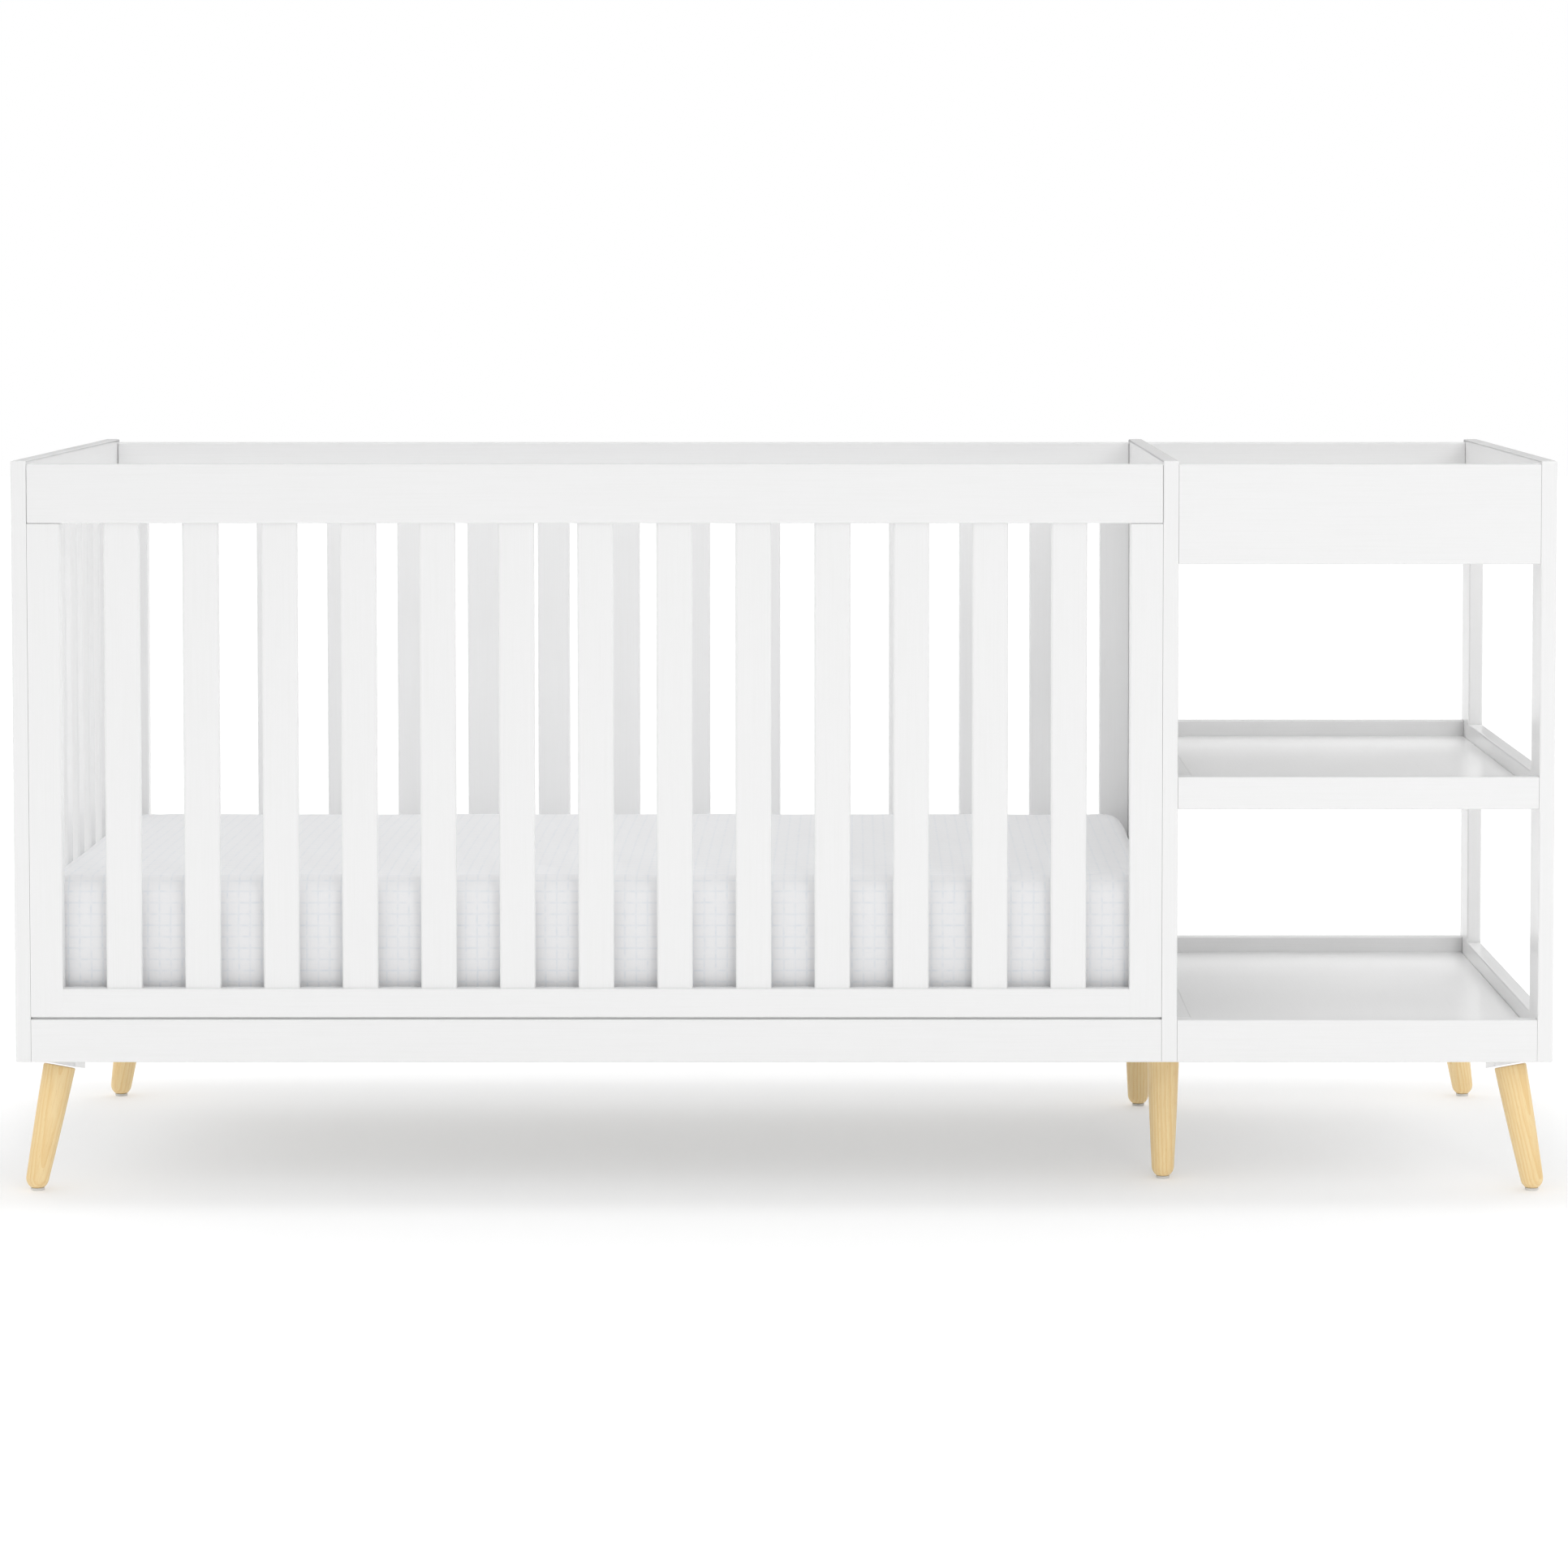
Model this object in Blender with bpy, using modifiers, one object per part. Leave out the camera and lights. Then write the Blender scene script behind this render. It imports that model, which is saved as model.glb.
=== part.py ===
"""Crib and changer combo on six turned legs.

A slatted crib stands on the left, with its mattress at the lowest level, and an open changing
station with two shelves stands on the right. Metres, +Z up. X runs along the front from left to
right and -Y faces the viewer. The origin is on the floor under the middle of the whole piece.
Run it with blender --background --python part.py, or from the text editor.
"""

import math

import bmesh
import bpy
from mathutils import Matrix, Vector

# Overall sizes
CRIB_INNER_WIDTH = 1.330
CHANGER_INNER_WIDTH = 0.424
DEPTH = 0.750
HEIGHT = 0.866
FRAME_BOTTOM = 0.158

# Clearances and edges
JOINT_GAP = 0.0003
EDGE_ROUND = 0.0018
CUT_OVERRUN = 0.010

# End panels: left end, middle panel and right end frame
END_THICKNESS = 0.018
POST_DEPTH = 0.072
END_TOP_RAIL_HEIGHT = 0.072
END_SLAT_COUNT = 6

# Front and back panels of the crib
LONG_THICKNESS = 0.020
RAIL_DROP = 0.004
TOP_RAIL_HEIGHT = 0.069
BOTTOM_RAIL_HEIGHT = 0.034
STILE_WIDTH = 0.038
LONG_SLAT_COUNT = 13

# Slats and their joints
SLAT_WIDTH = 0.042
SLAT_THICKNESS = 0.012
TENON_LENGTH = 0.012

# Base rails
BASE_RAIL_HEIGHT = 0.050
BASE_REVEAL = 0.003

# Changer
APRON_HEIGHT = 0.117
TRAY_DEPTH = 0.100
BOARD_THICKNESS = 0.012
TONGUE_THICKNESS = 0.006
GROOVE_DEPTH = 0.006
SHELF_SINK = 0.020
MIDDLE_SHELF_TOP = 0.495
MIDDLE_SHELF_RAIL_HEIGHT = 0.038
BATTEN_THICKNESS = 0.018

# Legs, their blocks and glides
BLOCK_WIDTH = 0.048
BLOCK_DEPTH = 0.080
LEG_FACE_HEIGHT = 0.1465
LEG_SPLAY = math.radians(10.2)
LEG_TOP_RADIUS = 0.019
LEG_FOOT_RADIUS = 0.0135
LEG_EDGE_ROUND = 0.0015
MIDDLE_LEG_INSET = 0.115
MIDDLE_PAD_WIDTH = 0.060
MIDDLE_PAD_DEPTH = 0.100
STUD_RADIUS = 0.004
STUD_LENGTH = 0.022
GLIDE_RADIUS = 0.008
GLIDE_THICKNESS = 0.003
GLIDE_EDGE = 0.0008
FOOT_SINK = 0.0023

# Mattress support
SUPPORT_END_CLEARANCE = 0.004
SUPPORT_SIDE_CLEARANCE = 0.005
SUPPORT_THICKNESS = 0.020
SUPPORT_RAIL_WIDTH = 0.040
SUPPORT_SLAT_COUNT = 9
SUPPORT_SLAT_WIDTH = 0.064
BRACKET_WIDTH = 0.040
BRACKET_DROP = 0.022
BRACKET_CLEARANCE = 0.004
BRACKET_THICKNESS = 0.010
BRACKET_INSET = 0.052
BOLT_HEAD_RADIUS = 0.007
BOLT_HEAD_HEIGHT = 0.004
LEVEL_COUNT = 4
LEVEL_STEP = 0.100
LEVEL_HOLE_RADIUS = 0.005
LEVEL_HOLE_DEPTH = 0.012

# Mattress
MATTRESS_END_CLEARANCE = 0.005
MATTRESS_SIDE_CLEARANCE = 0.006
MATTRESS_THICKNESS = 0.152
MATTRESS_CROWN = 0.007
MATTRESS_TUCK = 0.004
MATTRESS_LENGTH_SHARES = (0.035, 0.11, 0.27, 0.5, 0.73, 0.89, 0.965)
MATTRESS_WIDTH_SHARES = (0.065, 0.2, 0.5, 0.8, 0.935)
MATTRESS_HEIGHT_SHARES = (0.13, 0.5, 0.85)

# Roundness of turned and drilled shapes
LEG_STEPS = 28
FOOT_STEPS = 4
SMALL_ROUND_SIDES = 20
HOLE_SIDES = 12

# Places that follow from the sizes above
WIDTH = CRIB_INNER_WIDTH + CHANGER_INNER_WIDTH + 3 * END_THICKNESS
LEFT_X = -WIDTH / 2
CRIB_LEFT_X = LEFT_X + END_THICKNESS
CRIB_RIGHT_X = CRIB_LEFT_X + CRIB_INNER_WIDTH
CHANGER_LEFT_X = CRIB_RIGHT_X + END_THICKNESS
CHANGER_RIGHT_X = CHANGER_LEFT_X + CHANGER_INNER_WIDTH
RIGHT_X = CHANGER_RIGHT_X + END_THICKNESS
FRONT_Y = -DEPTH / 2
BACK_Y = DEPTH / 2
INNER_FRONT_Y = FRONT_Y + LONG_THICKNESS
INNER_BACK_Y = BACK_Y - LONG_THICKNESS
RAIL_TOP = HEIGHT - RAIL_DROP
BASE_RAIL_TOP = FRAME_BOTTOM + BASE_RAIL_HEIGHT
PANEL_BOTTOM = BASE_RAIL_TOP + BASE_REVEAL
SLAT_LOW = PANEL_BOTTOM + BOTTOM_RAIL_HEIGHT
SLAT_HIGH = RAIL_TOP - TOP_RAIL_HEIGHT
BLOCK_TOP = BASE_RAIL_TOP - SHELF_SINK - BOARD_THICKNESS - JOINT_GAP
SUPPORT_BOTTOM = BLOCK_TOP + BRACKET_CLEARANCE + BRACKET_DROP
SUPPORT_TOP = SUPPORT_BOTTOM + SUPPORT_THICKNESS
MATTRESS_BOTTOM = SUPPORT_TOP + JOINT_GAP
BOLT_HEIGHT = SUPPORT_BOTTOM - BRACKET_DROP / 2


def clear_scene():
    """Removes every object that the scene starts with."""
    for thing in list(bpy.data.objects):
        bpy.data.objects.remove(thing, do_unlink=True)


def new_collection(name, hidden):
    """A collection in the scene, left out of renders if hidden."""
    made = bpy.data.collections.new(name)
    made.hide_render = hidden
    bpy.context.scene.collection.children.link(made)
    return made


clear_scene()
PARTS = new_collection("crib_and_changer", False)
CUTTERS = new_collection("cutters", True)


def new_material(name, colour, roughness, metallic):
    """A Principled material of one colour, given in linear light."""
    made = bpy.data.materials.new(name)
    made.use_nodes = True
    made.diffuse_color = (*colour, 1)
    shader = made.node_tree.nodes["Principled BSDF"]
    shader.inputs["Base Color"].default_value = (*colour, 1)
    shader.inputs["Roughness"].default_value = roughness
    shader.inputs["Metallic"].default_value = metallic
    return made


FINISHES = {
    "white_paint": ((0.86, 0.86, 0.86), 0.45, 0),
    "natural_wood": ((0.85, 0.62, 0.36), 0.5, 0),
    "grey_plastic": ((0.35, 0.35, 0.36), 0.5, 0),
    "sheet_fabric": ((0.80, 0.82, 0.84), 0.9, 0),
}


def add_part(name, mesh, finish, location=(0, 0, 0)):
    """An object in the parts collection, with a material of its own."""
    part = bpy.data.objects.new(name, mesh)
    part.location = location
    mesh.materials.append(new_material(name + "_" + finish, *FINISHES[finish]))
    PARTS.objects.link(part)
    return part


def as_cutter(name, mesh, location=(0, 0, 0)):
    """A helper object that cuts or joins parts and is never a part itself."""
    cutter = bpy.data.objects.new(name, mesh)
    cutter.location = location
    cutter.hide_render = True
    cutter.display_type = "WIRE"
    CUTTERS.objects.link(cutter)
    return cutter


def centre_of(low, high):
    return (Vector(low) + Vector(high)) / 2


def box_mesh(name, low, high):
    """A box mesh between two corners, centred on its own origin."""
    size = Vector(high) - Vector(low)
    shape = bmesh.new()
    bmesh.ops.create_cube(shape, size=1, matrix=Matrix.Diagonal((*size, 1)))
    mesh = bpy.data.meshes.new(name)
    shape.to_mesh(mesh)
    shape.free()
    return mesh


def rod_mesh(name, radius, length, sides):
    """A capped cylinder along Z, centred on its own origin."""
    shape = bmesh.new()
    bmesh.ops.create_cone(
        shape, cap_ends=True, segments=sides, radius1=radius, radius2=radius, depth=length
    )
    mesh = bpy.data.meshes.new(name)
    shape.to_mesh(mesh)
    shape.free()
    mesh.shade_smooth()
    mesh.set_sharp_from_angle(angle=math.radians(40))
    return mesh


def round_edges(part, width=EDGE_ROUND):
    """Eases the edges that the shape has so far."""
    bevel = part.modifiers.new("eased_edges", "BEVEL")
    bevel.width = width
    bevel.segments = 1
    bevel.limit_method = "ANGLE"
    bevel.use_clamp_overlap = True
    return bevel


def combine(part, other, operation):
    """Cuts the other object from the part, or joins it on."""
    step = part.modifiers.new(operation.lower() + "_" + other.name, "BOOLEAN")
    step.operation = operation
    step.solver = "EXACT"
    step.object = other


def cut_box(part, name, low, high):
    combine(part, as_cutter(name, box_mesh(name, low, high), centre_of(low, high)), "DIFFERENCE")


def board(name, low, high, finish="white_paint"):
    """A solid board between two corners, with eased edges."""
    part = add_part(name, box_mesh(name, low, high), finish, centre_of(low, high))
    round_edges(part)
    return part


def joined_board(part, name, low, high):
    """A board glued to the part, so that both make one body."""
    piece = as_cutter(name, box_mesh(name, low, high), centre_of(low, high))
    round_edges(piece)
    combine(part, piece, "UNION")


def spread(low, high, count, width):
    """Centres of a row of pieces with equal gaps between each other and the two ends."""
    gap = (high - low - count * width) / (count + 1)
    return [low + gap + width / 2 + index * (gap + width) for index in range(count)]


def slatted_panel(name, low, high, window_low, window_high, row, length, count, width):
    """A glued frame: a board with a window, and slats across it.

    row is the axis along which the slats follow each other, and length is the one they run along.
    """
    thick = 3 - row - length
    panel = add_part(name, box_mesh(name, low, high), "white_paint", centre_of(low, high))
    hole_low = Vector(window_low)
    hole_high = Vector(window_high)
    hole_low[thick] = low[thick] - CUT_OVERRUN
    hole_high[thick] = high[thick] + CUT_OVERRUN
    cut_box(panel, name + "_window", hole_low, hole_high)
    round_edges(panel)
    middle = centre_of(low, high)[thick]
    for number, place in enumerate(spread(hole_low[row], hole_high[row], count, width), 1):
        slat_low = Vector((0, 0, 0))
        slat_high = Vector((0, 0, 0))
        slat_low[row] = place - width / 2
        slat_high[row] = place + width / 2
        slat_low[length] = hole_low[length] - TENON_LENGTH
        slat_high[length] = hole_high[length] + TENON_LENGTH
        slat_low[thick] = middle - SLAT_THICKNESS / 2
        slat_high[thick] = middle + SLAT_THICKNESS / 2
        joined_board(panel, f"{name}_slat_{number:02d}", slat_low, slat_high)
    return panel


def front_panel():
    """The crib's front: a top rail over two stiles, a bottom rail between them, and the slats."""
    left = CRIB_LEFT_X + JOINT_GAP
    right = CRIB_RIGHT_X - JOINT_GAP
    stile_top = SLAT_HIGH - JOINT_GAP
    inner_left = CRIB_LEFT_X + STILE_WIDTH
    inner_right = CRIB_RIGHT_X - STILE_WIDTH
    top_rail = board(
        "front_top_rail", (left, FRONT_Y, SLAT_HIGH), (right, INNER_FRONT_Y, RAIL_TOP)
    )
    board(
        "front_left_stile", (left, FRONT_Y, PANEL_BOTTOM), (inner_left, INNER_FRONT_Y, stile_top)
    )
    board(
        "front_right_stile",
        (inner_right, FRONT_Y, PANEL_BOTTOM),
        (right, INNER_FRONT_Y, stile_top),
    )
    bottom_rail = board(
        "front_bottom_rail",
        (inner_left + JOINT_GAP, FRONT_Y, PANEL_BOTTOM),
        (inner_right - JOINT_GAP, INNER_FRONT_Y, SLAT_LOW),
    )
    middle_y = (FRONT_Y + INNER_FRONT_Y) / 2
    centres = spread(inner_left, inner_right, LONG_SLAT_COUNT, SLAT_WIDTH)
    for number, place in enumerate(centres, 1):
        half = Vector((SLAT_WIDTH / 2, SLAT_THICKNESS / 2, TENON_LENGTH))
        low = Vector((place, middle_y, SLAT_LOW)) - half
        high = Vector((place, middle_y, SLAT_HIGH)) + half
        board(f"front_slat_{number:02d}", low, high)
        room = Vector((JOINT_GAP, JOINT_GAP, JOINT_GAP))
        mouth = Vector((0, 0, CUT_OVERRUN))
        low_mortise_top = Vector((high.x, high.y, SLAT_LOW))
        high_mortise_foot = Vector((low.x, low.y, SLAT_HIGH))
        cut_box(bottom_rail, f"low_mortise_{number:02d}", low - room, low_mortise_top + room + mouth)
        cut_box(top_rail, f"high_mortise_{number:02d}", high_mortise_foot - room - mouth, high + room)


def back_panel():
    slatted_panel(
        "back_panel",
        Vector((CRIB_LEFT_X + JOINT_GAP, INNER_BACK_Y, PANEL_BOTTOM)),
        Vector((CRIB_RIGHT_X - JOINT_GAP, BACK_Y, RAIL_TOP)),
        Vector((CRIB_LEFT_X + STILE_WIDTH, 0, SLAT_LOW)),
        Vector((CRIB_RIGHT_X - STILE_WIDTH, 0, SLAT_HIGH)),
        row=0,
        length=2,
        count=LONG_SLAT_COUNT,
        width=SLAT_WIDTH,
    )


def end_panel(name, left_x, top_rail_height, hole_face_x):
    """A crib end: two posts, two rails and slats, with the support's level holes in its posts."""
    panel = slatted_panel(
        name,
        Vector((left_x, FRONT_Y, FRAME_BOTTOM)),
        Vector((left_x + END_THICKNESS, BACK_Y, HEIGHT)),
        Vector((0, FRONT_Y + POST_DEPTH, SLAT_LOW)),
        Vector((0, BACK_Y - POST_DEPTH, HEIGHT - top_rail_height)),
        row=1,
        length=2,
        count=END_SLAT_COUNT,
        width=SLAT_WIDTH,
    )
    for side in (-1, 1):
        for level in range(LEVEL_COUNT):
            label = f"{name}_level_hole_{side}_{level}"
            drill = rod_mesh(label, LEVEL_HOLE_RADIUS, 2 * LEVEL_HOLE_DEPTH, HOLE_SIDES)
            place = (
                hole_face_x,
                side * (DEPTH / 2 - BRACKET_INSET),
                BOLT_HEIGHT + level * LEVEL_STEP,
            )
            cutter = as_cutter(label, drill, place)
            cutter.rotation_euler = (0, math.radians(90), 0)
            combine(panel, cutter, "DIFFERENCE")
    return panel


def end_panels():
    end_panel("left_end_panel", LEFT_X, END_TOP_RAIL_HEIGHT, CRIB_LEFT_X)
    middle = end_panel("middle_panel", CRIB_RIGHT_X, APRON_HEIGHT + RAIL_DROP, CRIB_RIGHT_X)
    for side in (-1, 1):
        label = f"middle_panel_stud_hole_{side}"
        drill = rod_mesh(label, STUD_RADIUS + JOINT_GAP, 2 * STUD_LENGTH, HOLE_SIDES)
        place = (CRIB_RIGHT_X + END_THICKNESS / 2, side * (DEPTH / 2 - MIDDLE_LEG_INSET), FRAME_BOTTOM)
        combine(middle, as_cutter(label, drill, place), "DIFFERENCE")


def right_end_frame():
    """The changer's open end: two posts and three side rails between them."""
    rail_front = FRONT_Y + POST_DEPTH + JOINT_GAP
    rail_back = BACK_Y - POST_DEPTH - JOINT_GAP
    board(
        "right_front_post",
        (CHANGER_RIGHT_X, FRONT_Y, FRAME_BOTTOM),
        (RIGHT_X, FRONT_Y + POST_DEPTH, HEIGHT),
    )
    board(
        "right_back_post",
        (CHANGER_RIGHT_X, BACK_Y - POST_DEPTH, FRAME_BOTTOM),
        (RIGHT_X, BACK_Y, HEIGHT),
    )
    for name, low_z, high_z in (
        ("right_top_rail", RAIL_TOP - APRON_HEIGHT, HEIGHT),
        ("right_middle_rail", MIDDLE_SHELF_TOP - MIDDLE_SHELF_RAIL_HEIGHT, MIDDLE_SHELF_TOP),
        ("right_lower_rail", FRAME_BOTTOM, BASE_RAIL_TOP),
    ):
        board(name, (CHANGER_RIGHT_X, rail_front, low_z), (RIGHT_X, rail_back, high_z))


def base_rails():
    left = CRIB_LEFT_X + JOINT_GAP
    right = CRIB_RIGHT_X - JOINT_GAP
    board(
        "front_base_rail", (left, FRONT_Y, FRAME_BOTTOM), (right, INNER_FRONT_Y, BASE_RAIL_TOP)
    )
    board("back_base_rail", (left, INNER_BACK_Y, FRAME_BOTTOM), (right, BACK_Y, BASE_RAIL_TOP))


def grooved_pair(front_name, back_name, low_z, high_z, board_top):
    """A front and a back rail of the changer, each grooved for the tongue of the board between."""
    left = CHANGER_LEFT_X + JOINT_GAP
    right = CHANGER_RIGHT_X - JOINT_GAP
    groove_low = board_top - BOARD_THICKNESS - JOINT_GAP
    groove_high = board_top - BOARD_THICKNESS + TONGUE_THICKNESS + JOINT_GAP
    front = board(front_name, (left, FRONT_Y, low_z), (right, INNER_FRONT_Y, high_z))
    cut_box(
        front,
        front_name + "_groove",
        (left - CUT_OVERRUN, INNER_FRONT_Y - GROOVE_DEPTH, groove_low),
        (right + CUT_OVERRUN, INNER_FRONT_Y + CUT_OVERRUN, groove_high),
    )
    back = board(back_name, (left, INNER_BACK_Y, low_z), (right, BACK_Y, high_z))
    cut_box(
        back,
        back_name + "_groove",
        (left - CUT_OVERRUN, INNER_BACK_Y - CUT_OVERRUN, groove_low),
        (right + CUT_OVERRUN, INNER_BACK_Y + GROOVE_DEPTH, groove_high),
    )


def grooved_board(name, left, top):
    """The board between a front and a back rail, with a tongue in the groove of each."""
    right = CHANGER_RIGHT_X - JOINT_GAP
    reach = GROOVE_DEPTH - JOINT_GAP
    tongue_top = top - BOARD_THICKNESS + TONGUE_THICKNESS
    panel = board(
        name,
        (left, INNER_FRONT_Y - reach, top - BOARD_THICKNESS),
        (right, INNER_BACK_Y + reach, top),
    )
    cut_box(
        panel,
        name + "_front_rebate",
        (left - CUT_OVERRUN, INNER_FRONT_Y - CUT_OVERRUN, tongue_top),
        (right + CUT_OVERRUN, INNER_FRONT_Y + JOINT_GAP, top + CUT_OVERRUN),
    )
    cut_box(
        panel,
        name + "_back_rebate",
        (left - CUT_OVERRUN, INNER_BACK_Y - JOINT_GAP, tongue_top),
        (right + CUT_OVERRUN, INNER_BACK_Y + CUT_OVERRUN, top + CUT_OVERRUN),
    )


def changer():
    """The changing tray on top and the two shelves with raised rims under it."""
    tray_floor = RAIL_TOP - TRAY_DEPTH
    grooved_pair(
        "changer_front_apron",
        "changer_back_apron",
        RAIL_TOP - APRON_HEIGHT,
        RAIL_TOP,
        tray_floor,
    )
    grooved_board("changing_tray_floor", CHANGER_LEFT_X + JOINT_GAP, tray_floor)
    batten_right = CHANGER_LEFT_X + JOINT_GAP + BATTEN_THICKNESS
    for name, low_z, high_z in (
        ("middle_shelf", MIDDLE_SHELF_TOP - MIDDLE_SHELF_RAIL_HEIGHT, MIDDLE_SHELF_TOP),
        ("lower_shelf", FRAME_BOTTOM, BASE_RAIL_TOP),
    ):
        surface = high_z - SHELF_SINK
        grooved_pair(name + "_front_rail", name + "_back_rail", low_z, high_z, surface)
        grooved_board(name + "_board", batten_right + JOINT_GAP, surface)
        board(
            name + "_left_batten",
            (CHANGER_LEFT_X + JOINT_GAP, INNER_FRONT_Y + JOINT_GAP, low_z),
            (batten_right, INNER_BACK_Y - JOINT_GAP, high_z),
        )


def leg_direction(side_x, side_y):
    """The way from the leg's top to its foot."""
    slope = math.tan(LEG_SPLAY)
    return Vector((side_x * slope, side_y * slope, -1)).normalized()


def leg_reach():
    """Length of a leg from its top face to the middle of its round foot."""
    foot_middle = GLIDE_THICKNESS + JOINT_GAP - FOOT_SINK + LEG_FOOT_RADIUS
    return (LEG_FACE_HEIGHT - foot_middle) / -leg_direction(1, 1).z


def leg_mesh(name):
    """A turned leg along -Z with its bolt stud on top, from the outline of one side."""
    reach = leg_reach()
    outline = [
        (0, STUD_LENGTH),
        (STUD_RADIUS, STUD_LENGTH),
        (STUD_RADIUS, -JOINT_GAP),
        (LEG_TOP_RADIUS - LEG_EDGE_ROUND, -JOINT_GAP),
        (LEG_TOP_RADIUS, -JOINT_GAP - LEG_EDGE_ROUND),
    ]
    for step in range(FOOT_STEPS + 1):
        angle = math.radians(90) * step / FOOT_STEPS
        across = 0 if step == FOOT_STEPS else LEG_FOOT_RADIUS * math.cos(angle)
        outline.append((across, -reach - LEG_FOOT_RADIUS * math.sin(angle)))
    mesh = bpy.data.meshes.new(name)
    links = [(index, index + 1) for index in range(len(outline) - 1)]
    mesh.from_pydata([(across, 0, along) for across, along in outline], links, [])
    return mesh


def turn(part, steps):
    """Sweeps the outline once round the part's own Z axis."""
    screw = part.modifiers.new("turned", "SCREW")
    screw.steps = steps
    screw.render_steps = steps
    screw.use_merge_vertices = True
    screw.merge_threshold = JOINT_GAP / 10
    screw.use_smooth_shade = True


def leg(label, top, direction):
    """A leg and its glide, seated under the face whose middle is top."""
    turning = Vector((0, 0, -1)).rotation_difference(direction)
    part = add_part("leg_" + label, leg_mesh("leg_" + label), "natural_wood", top)
    part.rotation_mode = "QUATERNION"
    part.rotation_quaternion = turning
    turn(part, LEG_STEPS)
    foot = top + direction * leg_reach()
    reach = 2 * LEG_FOOT_RADIUS
    floor = GLIDE_THICKNESS + JOINT_GAP
    cut_box(
        part,
        "foot_cut_" + label,
        (foot.x - reach, foot.y - reach, floor - reach),
        (foot.x + reach, foot.y + reach, floor),
    )
    pad = rod_mesh("glide_" + label, GLIDE_RADIUS, GLIDE_THICKNESS, SMALL_ROUND_SIDES)
    glide = add_part("glide_" + label, pad, "grey_plastic", (foot.x, foot.y, GLIDE_THICKNESS / 2))
    round_edges(glide, GLIDE_EDGE)


def corner_leg(label, side_x, side_y):
    """A splayed leg under a block whose underside is square to the leg."""
    outer_x = LEFT_X if side_x < 0 else RIGHT_X
    inner_x = outer_x - side_x * (END_THICKNESS + JOINT_GAP)
    inner_y = side_y * (DEPTH / 2 - LONG_THICKNESS - JOINT_GAP)
    far_x = inner_x - side_x * BLOCK_WIDTH
    far_y = inner_y - side_y * BLOCK_DEPTH
    drop = LEG_FACE_HEIGHT - (BLOCK_WIDTH + BLOCK_DEPTH) * math.tan(LEG_SPLAY)
    low = (min(inner_x, far_x), min(inner_y, far_y), drop)
    high = (max(inner_x, far_x), max(inner_y, far_y), BLOCK_TOP)
    direction = leg_direction(side_x, side_y)
    top = Vector(((inner_x + far_x) / 2, (inner_y + far_y) / 2, LEG_FACE_HEIGHT))
    block = board("leg_block_" + label, low, high)
    turning = Vector((0, 0, -1)).rotation_difference(direction)
    across = BLOCK_WIDTH + BLOCK_DEPTH
    slant = box_mesh("slant_" + label, (-across, -across, -across), (across, across, across))
    drill = rod_mesh("stud_hole_" + label, STUD_RADIUS + JOINT_GAP, 2 * STUD_LENGTH, HOLE_SIDES)
    for mesh, place in (
        (slant, top + direction * across),
        (drill, top - direction * 2 * JOINT_GAP),
    ):
        cutter = as_cutter(mesh.name, mesh, place)
        cutter.rotation_mode = "QUATERNION"
        cutter.rotation_quaternion = turning
        combine(block, cutter, "DIFFERENCE")
    leg(label, top, direction)


def middle_leg(label, side_y):
    """A straight leg under the middle panel, on a flat pad."""
    middle_x = CRIB_RIGHT_X + END_THICKNESS / 2
    middle_y = side_y * (DEPTH / 2 - MIDDLE_LEG_INSET)
    face = leg_reach() + GLIDE_THICKNESS + JOINT_GAP - FOOT_SINK + LEG_FOOT_RADIUS
    top = Vector((middle_x, middle_y, face))
    half = Vector((MIDDLE_PAD_WIDTH / 2, MIDDLE_PAD_DEPTH / 2, 0))
    pad = board(
        "leg_block_" + label, top - half, Vector((*(top + half).xy, FRAME_BOTTOM - JOINT_GAP))
    )
    drill = rod_mesh("stud_hole_" + label, STUD_RADIUS + JOINT_GAP, 2 * STUD_LENGTH, HOLE_SIDES)
    combine(pad, as_cutter(drill.name, drill, top), "DIFFERENCE")
    leg(label, top, Vector((0, 0, -1)))


def legs():
    corner_leg("front_left", -1, -1)
    corner_leg("front_right", 1, -1)
    corner_leg("back_left", -1, 1)
    corner_leg("back_right", 1, 1)
    middle_leg("front_middle", -1)
    middle_leg("back_middle", 1)


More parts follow.
